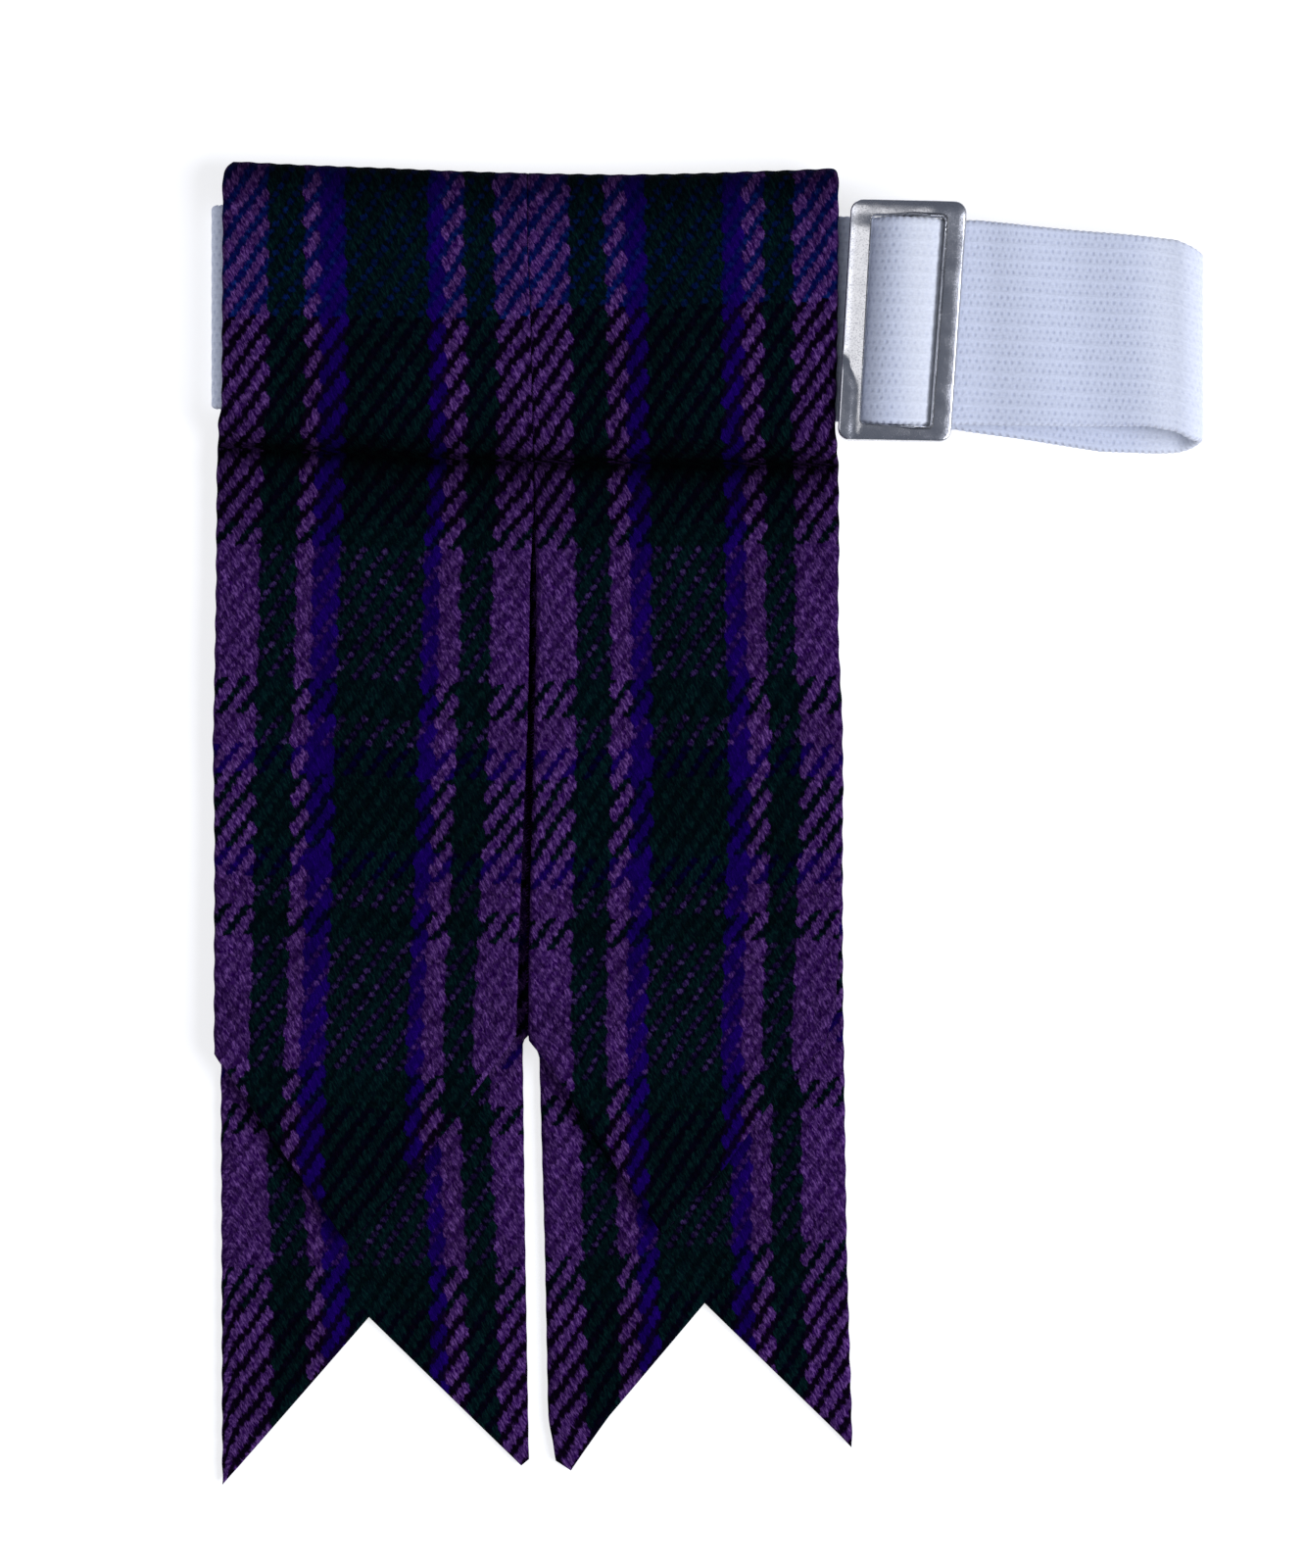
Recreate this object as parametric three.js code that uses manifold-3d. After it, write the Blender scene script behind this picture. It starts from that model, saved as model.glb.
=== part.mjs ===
// A kilt flash lying flat, face up: two doubled tartan strips on a white elastic garter with a slider.
// Millimetres. +X runs to the right along the garter, +Y up the strips to the fold, +Z up from the
// surface that it lies on. The origin is the middle of the footprint, on that surface.

import * as THREE from "three";
import { mergeVertices } from "three/addons/utils/BufferGeometryUtils.js";
import Module from "manifold-3d";

const wasm = await Module();
wasm.setup();

// Cloth, elastic and the clearance between touching pieces
const GAP = 0.3;
const CLOTH = 1.5;
const ELASTIC = 1.0;
const ELASTIC_WIDTH = 25;

// Heights of the lying plies, counted up from the surface
const PLY_BACK = ELASTIC / 2;
const BACK_WALL_TAIL = CLOTH / 2;
const BACK_WALL_TOP = ELASTIC + GAP + CLOTH / 2;
const PLY_TUNNEL = ELASTIC + GAP + CLOTH + GAP + ELASTIC / 2;
const PLY_RETURN = PLY_TUNNEL + ELASTIC + GAP;
const FRONT_WALL_TAIL = CLOTH + GAP + CLOTH / 2;
const FRONT_WALL_LOW = PLY_TUNNEL + ELASTIC / 2 + GAP + CLOTH / 2;
const FRONT_WALL_HIGH = PLY_RETURN + ELASTIC / 2 + GAP + CLOTH / 2;

// The seam under the tunnel: where the tunnel has risen, and the groove that the stitches pull in
const TUNNEL_RISE = 4.0;
const GROOVE_WIDTH = 1.1;
const GROOVE_THIN = 0.68;
const PUFF = 0.25;
const PUFF_LENGTH = 5.0;

// The front tails lie on the back tails and lift a little towards their points
const TAIL_LIFT = 0.7;
const TAIL_LIFT_LENGTH = 22;
const WAVE = 0.14;
const WAVE_LENGTH = 31;

// Where the second ply of elastic starts inside the tunnel, so that the tunnel stands higher
const RETURN_START = -20;
const RETURN_FULL = -1.5;
const RETURN_END = -0.5;

// Turned edges are thinner: share of the cloth's thickness at a distance from the edge
const TURNED_EDGE = [
  { inset: 0, share: 0.42 },
  { inset: 0.3, share: 0.82 },
  { inset: 0.85, share: 1 },
];

// How many steps each stretch of a strip has along its length
const STEPS = { tail: 9, seam: 2, rise: 5, flat: 2, fold: 8 };
const COLUMN_SHARE = 0.1;

// Seam and top fold, the same lines for both strips
const SEAM_LINE = [
  { x: -59.5, y: 46.0 },
  { x: -46.6, y: 45.5 },
  { x: -33.8, y: 44.6 },
  { x: -20.8, y: 44.2 },
  { x: 16.1, y: 43.8 },
];
const TOP_LINE = [
  { x: -58.8, y: 79.7 },
  { x: -57.4, y: 80.45 },
  { x: -41.5, y: 79.8 },
  { x: -25.9, y: 79.2 },
  { x: -10.4, y: 78.9 },
  { x: 2.9, y: 79.1 },
  { x: 15.7, y: 79.6 },
];

// Side edges of each strip at heights y, for its front and its back
const LEFT_STRIP = {
  name: "left_strip",
  edges: [
    { y: 80, frontLeft: -58.6, frontRight: -21.65, backLeft: -58.6, backRight: -21.65 },
    { y: 51, frontLeft: -58.7, frontRight: -21.65, backLeft: -58.6, backRight: -21.65 },
    { y: 48.5, frontLeft: -59.2, frontRight: -21.65, backLeft: -58.7, backRight: -21.65 },
    { y: 45, frontLeft: -59.5, frontRight: -21.65, backLeft: -58.9, backRight: -21.65 },
    { y: 30, frontLeft: -59.6, frontRight: -21.7, backLeft: -59.0, backRight: -21.65 },
    { y: 17, frontLeft: -59.8, frontRight: -21.9, backLeft: -59.1, backRight: -21.65 },
    { y: 10, frontLeft: -60.0, frontRight: -22.1, backLeft: -59.1, backRight: -21.65 },
    { y: -1, frontLeft: -59.8, frontRight: -22.55, backLeft: -59.1, backRight: -21.65 },
    { y: -15, frontLeft: -59.8, frontRight: -22.95, backLeft: -59.0, backRight: -21.65 },
    { y: -25, frontLeft: -59.8, frontRight: -22.95, backLeft: -59.0, backRight: -21.75 },
    { y: -28, frontLeft: -59.8, frontRight: -22.7, backLeft: -59.0, backRight: -22.6 },
    { y: -50, frontLeft: -59.8, frontRight: -22.7, backLeft: -58.8, backRight: -22.35 },
    { y: -80, frontLeft: -59.8, frontRight: -22.7, backLeft: -58.7, backRight: -21.6 },
  ],
  // The pointed front end and the swallowtail back end, from the left edge to the right one
  frontEnd: [
    { across: 0, y: -27.7 },
    { across: 0.443, y: -51.1 },
    { across: 0.78, y: -36.2 },
    { across: 0.96, y: -27.3 },
    { across: 1, y: -25.4 },
  ],
  backEnd: [
    { across: 0, y: -80.35 },
    { across: 0.483, y: -59.9 },
    { across: 0.975, y: -78.0 },
    { across: 1, y: -77.2 },
  ],
};

const RIGHT_STRIP = {
  name: "right_strip",
  edges: [
    { y: 80, frontLeft: -21.35, frontRight: 15.55, backLeft: -21.35, backRight: 15.55 },
    { y: 47, frontLeft: -21.35, frontRight: 15.5, backLeft: -21.35, backRight: 15.55 },
    { y: 43, frontLeft: -21.35, frontRight: 16.0, backLeft: -21.35, backRight: 15.6 },
    { y: 35, frontLeft: -21.35, frontRight: 16.1, backLeft: -21.35, backRight: 15.7 },
    { y: 30, frontLeft: -20.95, frontRight: 16.0, backLeft: -21.35, backRight: 15.7 },
    { y: 23, frontLeft: -21.1, frontRight: 16.0, backLeft: -21.35, backRight: 15.8 },
    { y: 13, frontLeft: -21.3, frontRight: 16.5, backLeft: -21.35, backRight: 16.2 },
    { y: 4, frontLeft: -21.5, frontRight: 16.6, backLeft: -21.35, backRight: 16.6 },
    { y: -15, frontLeft: -21.6, frontRight: 16.0, backLeft: -21.35, backRight: 16.6 },
    { y: -25, frontLeft: -21.5, frontRight: 15.4, backLeft: -21.2, backRight: 16.6 },
    { y: -28, frontLeft: -21.3, frontRight: 15.4, backLeft: -20.2, backRight: 16.6 },
    { y: -52, frontLeft: -21.3, frontRight: 15.4, backLeft: -19.5, backRight: 16.9 },
    { y: -72, frontLeft: -21.3, frontRight: 15.4, backLeft: -19.1, backRight: 17.5 },
    { y: -80, frontLeft: -21.3, frontRight: 15.4, backLeft: -17.9, backRight: 17.6 },
  ],
  frontEnd: [
    { across: 0, y: -26.1 },
    { across: 0.432, y: -49.6 },
    { across: 0.64, y: -41.5 },
    { across: 0.85, y: -30.6 },
    { across: 0.97, y: -26.8 },
    { across: 1, y: -22.4 },
  ],
  backEnd: [
    { across: 0, y: -77.4 },
    { across: 0.045, y: -78.6 },
    { across: 0.525, y: -58.2 },
    { across: 1, y: -75.8 },
  ],
};

// The garter's middle line in section, from the end sewn round the slider's bar to the free end
const LEFT_FOLD_X = -60.2;
const RIGHT_FOLD_X = 60.2;
const SEWN_RUN = [
  { x: 25.3, z: 5.75, half: 1.3 },
  { x: 22.5, z: 5.7, half: 1.25 },
  { x: 20.1, z: 4.8, half: 0.65 },
  { x: 17.5, z: 3.95, half: 0.5 },
  { x: 13.0, z: 3.6, half: 0.5 },
];
const FRONT_RUN = [
  { x: 55.5, z: 6.25 },
  { x: 44.0, z: 6.05 },
  { x: 33.5, z: 5.7 },
  { x: 30.2, z: 5.65 },
  { x: 28.7, z: 5.72 },
  { x: 27.85, z: 6.15 },
  { x: 27.4, z: 6.95 },
  { x: 26.7, z: 7.75 },
  { x: 25.5, z: 8.2 },
  { x: 23.7, z: 8.3 },
  { x: 21.9, z: 8.2 },
  { x: 20.8, z: 7.75 },
  { x: 20.15, z: 6.95 },
  { x: 19.75, z: 6.15 },
  { x: 18.8, z: 5.7 },
  { x: 17.0, z: 5.3 },
  { x: 15.2, z: 4.92 },
  { x: 11.0, z: 4.9 },
];
const NOSE_REACH = 0.7;
const RUN_STEPS = 3;
const FOLD_STEPS = 12;

// The strap isn't quite straight: its middle line and half width along x, for both long runs
const FRONT_COURSE = [
  { x: -60.3, y: 63.0, half: 12.3 },
  { x: 18.0, y: 61.4, half: 12.35 },
  { x: 19.5, y: 61.25, half: 12.15 },
  { x: 28.0, y: 60.75, half: 12.15 },
  { x: 32.0, y: 60.85, half: 12.5 },
  { x: 60.0, y: 59.05, half: 11.9 },
];
const BACK_COURSE = [
  { x: -60.3, y: 63.0, half: 12.3 },
  { x: 18.0, y: 61.5, half: 12.35 },
  { x: 30.0, y: 60.8, half: 12.4 },
  { x: 48.0, y: 58.25, half: 12.4 },
  { x: 60.0, y: 58.3, half: 12.4 },
];

// The slider: a flat frame with a recessed bar under the elastic, turned a few degrees
const SLIDER = {
  x: 23.75,
  y: 61.0,
  width: 14.3,
  length: 29.6,
  slotWidth: 8.95,
  slotLength: 25.3,
  bottom: 6.6,
  thickness: 2.0,
  cornerRadius: 1.4,
  slotRadius: 0.5,
  bevel: 0.35,
  turn: THREE.MathUtils.degToRad(-4),
};
const CENTRE_BAR = { width: 2.0, height: 1.0, bottom: 5.25, length: 27.6, legLength: 0.95 };
const BAR_HOLE_CLEARANCE = 0.3;
const TURN_REACH = 16;
const CURVE_SEGMENTS = 5;

const COLOURS = { tartan: 0x2a1640, elastic: 0xdfe3f0, metal: 0xc9cad0 };

// Small helpers

const clamp01 = (t) => Math.min(1, Math.max(0, t));

function smooth(t) {
  const c = clamp01(t);
  return c * c * (3 - 2 * c);
}

// The value of column `key` at `at`, on straight lines between a table's rows sorted by column `by`
function lookUp(table, by, at, key) {
  const rising = table[0][by] < table[table.length - 1][by];
  const rows = rising ? table : [...table].reverse();
  if (at <= rows[0][by]) return rows[0][key];
  for (let i = 1; i < rows.length; i += 1) {
    const low = rows[i - 1];
    const high = rows[i];
    if (at <= high[by]) {
      return THREE.MathUtils.lerp(low[key], high[key], (at - low[by]) / (high[by] - low[by]));
    }
  }
  return rows[rows.length - 1][key];
}

// A closed triangle mesh, turned outwards if its volume comes out negative
function closedGeometry(positions, triangles) {
  const points = positions.map((p) => new THREE.Vector3(...p));
  let volume = 0;
  for (const [a, b, c] of triangles) {
    volume += points[a].dot(points[b].clone().cross(points[c]));
  }
  const index = triangles.flatMap(([a, b, c]) => (volume > 0 ? [a, b, c] : [a, c, b]));
  const geometry = new THREE.BufferGeometry();
  geometry.setAttribute("position", new THREE.Float32BufferAttribute(positions.flat(), 3));
  geometry.setIndex(index);
  geometry.computeVertexNormals();
  return geometry;
}

// Tartan strips

// Share across the strip of each column of the grid: turned edges, end corners and even steps
function columnShares(strip) {
  const width = strip.edges[0].frontRight - strip.edges[0].frontLeft;
  const edge = TURNED_EDGE.map((row) => row.inset / width);
  const corners = [...strip.frontEnd, ...strip.backEnd].map((row) => row.across);
  const inner = corners.filter((share) => share > edge[2] && share < 1 - edge[2]);
  const marks = [edge[2], ...inner, 1 - edge[2]].sort((a, b) => a - b);
  const shares = [edge[0], edge[1]];
  for (let i = 0; i + 1 < marks.length; i += 1) {
    const span = marks[i + 1] - marks[i];
    const steps = Math.max(1, Math.round(span / COLUMN_SHARE));
    for (let k = 0; k < steps; k += 1) shares.push(marks[i] + (span * k) / steps);
  }
  shares.push(1 - edge[2], 1 - edge[1], 1);
  return shares;
}

function edgeThickness(distance) {
  return lookUp(TURNED_EDGE, "inset", distance, "share");
}

// Height of the front wall's middle: the tail, the puff under the seam, and the tunnel over the garter
function frontHeight(x, y, seamY, endY) {
  const high = THREE.MathUtils.lerp(
    FRONT_WALL_LOW, FRONT_WALL_HIGH, smooth((x - RETURN_START) / (RETURN_FULL - RETURN_START)));
  if (y >= seamY) return THREE.MathUtils.lerp(FRONT_WALL_TAIL, high, smooth((y - seamY) / TUNNEL_RISE));
  const below = seamY - y;
  const puff = PUFF * Math.sin(Math.PI * clamp01(below / PUFF_LENGTH)) ** 2;
  const wave = WAVE * (1 - Math.cos((2 * Math.PI * below) / WAVE_LENGTH + x / WAVE_LENGTH));
  const lift = TAIL_LIFT * smooth(1 - (y - endY) / TAIL_LIFT_LENGTH);
  return FRONT_WALL_TAIL + puff + wave * smooth(below / WAVE_LENGTH) + lift;
}

function backHeight(y, seamY) {
  return THREE.MathUtils.lerp(BACK_WALL_TAIL, BACK_WALL_TOP, smooth((y - seamY) / TUNNEL_RISE));
}

function stretch(from, to, steps) {
  return Array.from({ length: steps }, (_, k) => THREE.MathUtils.lerp(from, to, k / steps));
}

// Rows at one end: two close to the cut edge, then even steps up to the seam
function tailRows(endY, seamY) {
  const turned = TURNED_EDGE.map((row) => endY + row.inset);
  return [turned[0], turned[1], ...stretch(turned[2], seamY - PUFF_LENGTH, STEPS.tail)];
}

// The strip's middle line at one column: front end, up the front, over the fold, down to the back end
function columnPath(strip, share) {
  const guessX = THREE.MathUtils.lerp(strip.edges[0].frontLeft, strip.edges[0].frontRight, share);
  const seamY = lookUp(SEAM_LINE, "x", guessX, "y");
  const topY = lookUp(TOP_LINE, "x", guessX, "y");
  const frontEnd = lookUp(strip.frontEnd, "across", share, "y");
  const backEnd = lookUp(strip.backEnd, "across", share, "y");
  const flatY = seamY + TUNNEL_RISE;
  const frontTop = frontHeight(guessX, flatY, seamY, frontEnd);
  const radius = (frontTop - BACK_WALL_TOP) / 2;
  const foldY = topY - radius - CLOTH / 2;
  const up = [
    ...tailRows(frontEnd, seamY),
    ...stretch(seamY - PUFF_LENGTH, seamY - GROOVE_WIDTH / 2, STEPS.seam),
    seamY - GROOVE_WIDTH / 2,
    ...stretch(seamY, flatY, STEPS.rise),
    ...stretch(flatY, foldY, STEPS.flat),
  ];
  const front = up.map((y) => ({ side: "front", y, z: frontHeight(guessX, y, seamY, frontEnd) }));
  const fold = [];
  for (let k = 0; k <= STEPS.fold; k += 1) {
    const angle = Math.PI * (0.5 - k / STEPS.fold);
    const side = k * 2 < STEPS.fold ? "front" : "back";
    const z = (frontTop + BACK_WALL_TOP) / 2 + radius * Math.sin(angle);
    fold.push({ side, y: foldY + radius * Math.cos(angle), z });
  }
  const down = [
    ...tailRows(backEnd, seamY),
    ...stretch(seamY - PUFF_LENGTH, seamY, STEPS.seam),
    ...stretch(seamY, flatY, STEPS.rise),
    ...stretch(flatY, foldY, STEPS.flat),
  ].reverse();
  const back = down.map((y) => ({ side: "back", y, z: backHeight(y, seamY) }));
  const path = [...front, ...fold, ...back];
  path.forEach((row) => {
    const endY = row.side === "front" ? frontEnd : backEnd;
    const tail = row.y < seamY - PUFF_LENGTH;
    row.share = tail ? edgeThickness(row.y - endY) : 1;
    if (row.side === "front" && row.y === seamY) row.share = GROOVE_THIN;
  });
  return path;
}

// Unit normal of the middle line in the y, z plane, pointing away from the tunnel
function pathNormal(path, i) {
  const before = path[Math.max(0, i - 1)];
  const after = path[Math.min(path.length - 1, i + 1)];
  const along = new THREE.Vector2(after.y - before.y, after.z - before.z).normalize();
  return { y: -along.y, z: along.x };
}

function stripGeometry(strip) {
  const shares = columnShares(strip);
  const width = strip.edges[0].frontRight - strip.edges[0].frontLeft;
  const positions = [];
  const columns = shares.map((share) => {
    const path = columnPath(strip, share);
    const sideShare = edgeThickness(Math.min(share, 1 - share) * width);
    return path.map((row, i) => {
      const left = lookUp(strip.edges, "y", row.y, `${row.side}Left`);
      const right = lookUp(strip.edges, "y", row.y, `${row.side}Right`);
      const x = THREE.MathUtils.lerp(left, right, share);
      const normal = pathNormal(path, i);
      const half = (CLOTH / 2) * Math.min(sideShare, row.share);
      positions.push([x, row.y + normal.y * half, row.z + normal.z * half]);
      positions.push([x, row.y - normal.y * half, row.z - normal.z * half]);
      return positions.length - 2;
    });
  });
  const triangles = [];
  const quad = (a, b, c, d) => triangles.push([a, b, c], [a, c, d]);
  const rows = columns[0].length;
  for (let i = 0; i + 1 < columns.length; i += 1) {
    for (let j = 0; j + 1 < rows; j += 1) {
      const [a, b, c, d] = [columns[i][j], columns[i + 1][j], columns[i + 1][j + 1], columns[i][j + 1]];
      quad(a, b, c, d);
      quad(a + 1, d + 1, c + 1, b + 1);
    }
    quad(columns[i][0], columns[i][0] + 1, columns[i + 1][0] + 1, columns[i + 1][0]);
    const [a, b] = [columns[i][rows - 1], columns[i + 1][rows - 1]];
    quad(a, b, b + 1, a + 1);
  }
  const last = columns[columns.length - 1];
  for (let j = 0; j + 1 < rows; j += 1) {
    quad(columns[0][j], columns[0][j + 1], columns[0][j + 1] + 1, columns[0][j] + 1);
    quad(last[j], last[j] + 1, last[j + 1] + 1, last[j + 1]);
  }
  return closedGeometry(positions, triangles);
}

// Garter elastic

function splineRun(rows) {
  const curve = new THREE.SplineCurve(rows.map((row) => new THREE.Vector2(row.x, row.z)));
  return curve.getPoints((rows.length - 1) * RUN_STEPS);
}

function foldArc(x, low, high, toRight) {
  const radius = (high - low) / 2;
  const start = toRight ? -Math.PI / 2 : Math.PI / 2;
  const points = [];
  for (let k = 1; k < FOLD_STEPS; k += 1) {
    const angle = start + (Math.PI * k) / FOLD_STEPS;
    points.push(new THREE.Vector2(x + radius * Math.cos(angle), low + radius + radius * Math.sin(angle)));
  }
  return points;
}

// The middle line of the whole strap, with the half thickness at each point
function garterPath() {
  const sewn = splineRun(SEWN_RUN);
  const front = splineRun(FRONT_RUN);
  const leftRadius = (PLY_TUNNEL - PLY_BACK) / 2 + ELASTIC / 2;
  const rightRadius = (FRONT_RUN[0].z - PLY_BACK) / 2 + ELASTIC / 2;
  const leftX = LEFT_FOLD_X + leftRadius;
  const rightX = RIGHT_FOLD_X - rightRadius;
  const points = [
    ...sewn,
    new THREE.Vector2(leftX, PLY_TUNNEL),
    ...foldArc(leftX, PLY_BACK, PLY_TUNNEL, false),
    new THREE.Vector2(leftX, PLY_BACK),
    new THREE.Vector2(0, PLY_BACK),
    new THREE.Vector2(SLIDER.x, PLY_BACK),
    new THREE.Vector2(rightX, PLY_BACK),
    ...foldArc(rightX, PLY_BACK, FRONT_RUN[0].z, true),
    ...front,
    new THREE.Vector2(RETURN_END, PLY_RETURN),
  ];
  return points.map((point, i) => ({
    point,
    half: i < sewn.length ? lookUp(SEWN_RUN, "x", point.x, "half") : ELASTIC / 2,
  }));
}

// The strap's section: the middle line offset to both sides, with a round nose at the sewn end
function garterShape() {
  const path = garterPath();
  const sides = path.map(({ point, half }, i) => {
    const before = path[Math.max(0, i - 1)].point;
    const after = path[Math.min(path.length - 1, i + 1)].point;
    const along = after.clone().sub(before).normalize();
    const normal = new THREE.Vector2(-along.y, along.x).multiplyScalar(half);
    return { one: point.clone().add(normal), other: point.clone().sub(normal) };
  });
  const nose = [];
  const end = SEWN_RUN[0];
  for (let k = 1; k < CURVE_SEGMENTS; k += 1) {
    const angle = Math.PI * (k / CURVE_SEGMENTS - 0.5);
    nose.push(new THREE.Vector2(end.x + NOSE_REACH * Math.cos(angle), end.z + end.half * Math.sin(angle)));
  }
  const one = sides.map((side) => side.one);
  const other = sides.map((side) => side.other).reverse();
  const noseTurn = sides[0].one.y < sides[0].other.y ? nose.reverse() : nose;
  const shape = new THREE.Shape([...one, ...other, ...noseTurn]);
  const hole = new THREE.Path();
  const halfWidth = CENTRE_BAR.width / 2 + BAR_HOLE_CLEARANCE;
  const low = CENTRE_BAR.bottom - BAR_HOLE_CLEARANCE;
  const high = CENTRE_BAR.bottom + CENTRE_BAR.height + BAR_HOLE_CLEARANCE;
  hole.moveTo(SLIDER.x - halfWidth, low);
  hole.lineTo(SLIDER.x + halfWidth, low);
  hole.lineTo(SLIDER.x + halfWidth, high);
  hole.lineTo(SLIDER.x - halfWidth, high);
  hole.closePath();
  shape.holes.push(hole);
  return shape;
}

function garterGeometry() {
  const extruded = new THREE.ExtrudeGeometry(garterShape(), { depth: ELASTIC_WIDTH, bevelEnabled: false });
  extruded.rotateX(Math.PI / 2);
  extruded.deleteAttribute("normal");
  extruded.deleteAttribute("uv");
  const geometry = mergeVertices(extruded, 1e-4);
  const position = geometry.getAttribute("position");
  for (let i = 0; i < position.count; i += 1) {
    const x = position.getX(i);
    const side = position.getY(i) < -ELASTIC_WIDTH / 2 ? -1 : 1;
    const up = clamp01((position.getZ(i) - PLY_BACK) / (FRONT_RUN[0].z - PLY_BACK));
    const middle = THREE.MathUtils.lerp(
      lookUp(BACK_COURSE, "x", x, "y"), lookUp(FRONT_COURSE, "x", x, "y"), up);
    const half = THREE.MathUtils.lerp(
      lookUp(BACK_COURSE, "x", x, "half"), lookUp(FRONT_COURSE, "x", x, "half"), up);
    const near = smooth((TURN_REACH - Math.abs(x - SLIDER.x)) / (TURN_REACH / 2));
    const turn = Math.tan(SLIDER.turn) * side * half * near;
    position.setXYZ(i, x - turn, middle + side * half, position.getZ(i));
  }
  geometry.computeVertexNormals();
  return geometry;
}

// Slider buckle

function roundedRectangle(width, length, radius, Kind) {
  const [w, l] = [width / 2 - radius, length / 2 - radius];
  const outline = new Kind();
  outline.moveTo(-w, -l - radius);
  outline.lineTo(w, -l - radius);
  outline.absarc(w, -l, radius, -Math.PI / 2, 0, false);
  outline.absarc(w, l, radius, 0, Math.PI / 2, false);
  outline.absarc(-w, l, radius, Math.PI / 2, Math.PI, false);
  outline.absarc(-w, -l, radius, Math.PI, Math.PI * 1.5, false);
  return outline;
}

function toManifold(geometry) {
  const bare = geometry.clone();
  bare.deleteAttribute("normal");
  bare.deleteAttribute("uv");
  const merged = mergeVertices(bare, 1e-4);
  return new wasm.Manifold(new wasm.Mesh({
    numProp: 3,
    vertProperties: new Float32Array(merged.getAttribute("position").array),
    triVerts: new Uint32Array(merged.index.array),
  }));
}

function fromManifold(solid) {
  const mesh = solid.getMesh();
  const geometry = new THREE.BufferGeometry();
  geometry.setAttribute("position", new THREE.BufferAttribute(new Float32Array(mesh.vertProperties), 3));
  geometry.setIndex(new THREE.BufferAttribute(new Uint32Array(mesh.triVerts), 1));
  geometry.computeVertexNormals();
  return geometry;
}

function frameGeometry() {
  const { width, length, slotWidth, slotLength, bevel, thickness, bottom } = SLIDER;
  const shape = roundedRectangle(
    width - 2 * bevel, length - 2 * bevel, SLIDER.cornerRadius - bevel, THREE.Shape);
  shape.holes.push(roundedRectangle(
    slotWidth + 2 * bevel, slotLength + 2 * bevel, SLIDER.slotRadius + bevel, THREE.Path));
  const frame = new THREE.ExtrudeGeometry(shape, {
    depth: thickness - 2 * bevel,
    bevelThickness: bevel,
    bevelSize: bevel,
    bevelSegments: 2,
    curveSegments: CURVE_SEGMENTS,
  });
  frame.translate(0, 0, bottom + bevel);
  return frame;
}

// The bar hangs below the end bars on two short legs, outside the width of the elastic
function sliderGeometry() {
  const { width, height, bottom, length, legLength } = CENTRE_BAR;
  const bar = new THREE.BoxGeometry(width, length, height);
  bar.translate(0, 0, bottom + height / 2);
  let solid = toManifold(frameGeometry()).add(toManifold(bar));
  const legTop = SLIDER.bottom + SLIDER.thickness / 2;
  for (const end of [-1, 1]) {
    const leg = new THREE.BoxGeometry(width, legLength, legTop - bottom);
    leg.translate(0, (end * (length - legLength)) / 2, (legTop + bottom) / 2);
    solid = solid.add(toManifold(leg));
  }
  return fromManifold(solid);
}

// The finished assembly

function cloth(name) {
  return new THREE.MeshStandardMaterial({ name, color: COLOURS.tartan, roughness: 0.9, metalness: 0 });
}

function namedMesh(name, geometry, material) {
  const mesh = new THREE.Mesh(geometry, material);
  mesh.name = name;
  return mesh;
}

function buildFlash() {
  const flash = new THREE.Group();
  for (const strip of [LEFT_STRIP, RIGHT_STRIP]) {
    flash.add(namedMesh(strip.name, stripGeometry(strip), cloth("tartan")));
  }
  flash.add(namedMesh("garter_elastic", garterGeometry(), new THREE.MeshStandardMaterial({
    name: "elastic", color: COLOURS.elastic, roughness: 0.85, metalness: 0,
  })));
  const slider = namedMesh("slider_buckle", sliderGeometry(), new THREE.MeshStandardMaterial({
    name: "metal", color: COLOURS.metal, roughness: 0.25, metalness: 1,
  }));
  slider.position.set(SLIDER.x, SLIDER.y, 0);
  slider.rotation.z = SLIDER.turn;
  flash.add(slider);
  return flash;
}

export default buildFlash();
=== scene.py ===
# The looks of a kilt flash: two tartan strips, a woven elastic garter and a polished slider.
# Sizes are in millimetres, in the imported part's frame, and become metres where a mesh is made.

import math

import bmesh
import bpy
import numpy as np
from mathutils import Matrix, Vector, noise


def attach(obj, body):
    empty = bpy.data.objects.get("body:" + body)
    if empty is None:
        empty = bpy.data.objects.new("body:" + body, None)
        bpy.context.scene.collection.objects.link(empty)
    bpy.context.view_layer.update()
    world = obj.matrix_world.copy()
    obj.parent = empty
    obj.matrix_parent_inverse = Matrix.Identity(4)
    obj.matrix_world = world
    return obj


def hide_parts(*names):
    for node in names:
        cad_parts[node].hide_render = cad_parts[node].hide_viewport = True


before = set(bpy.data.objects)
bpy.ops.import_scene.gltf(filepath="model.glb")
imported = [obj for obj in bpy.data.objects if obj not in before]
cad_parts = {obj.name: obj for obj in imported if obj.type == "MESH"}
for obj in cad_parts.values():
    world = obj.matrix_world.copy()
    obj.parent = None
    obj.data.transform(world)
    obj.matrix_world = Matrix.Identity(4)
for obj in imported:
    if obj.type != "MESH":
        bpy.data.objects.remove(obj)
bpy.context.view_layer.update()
MM = 0.001

# Cloth, elastic and the clearance between touching pieces
GAP = 0.3
CLOTH = 1.5
ELASTIC = 1.0

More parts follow.
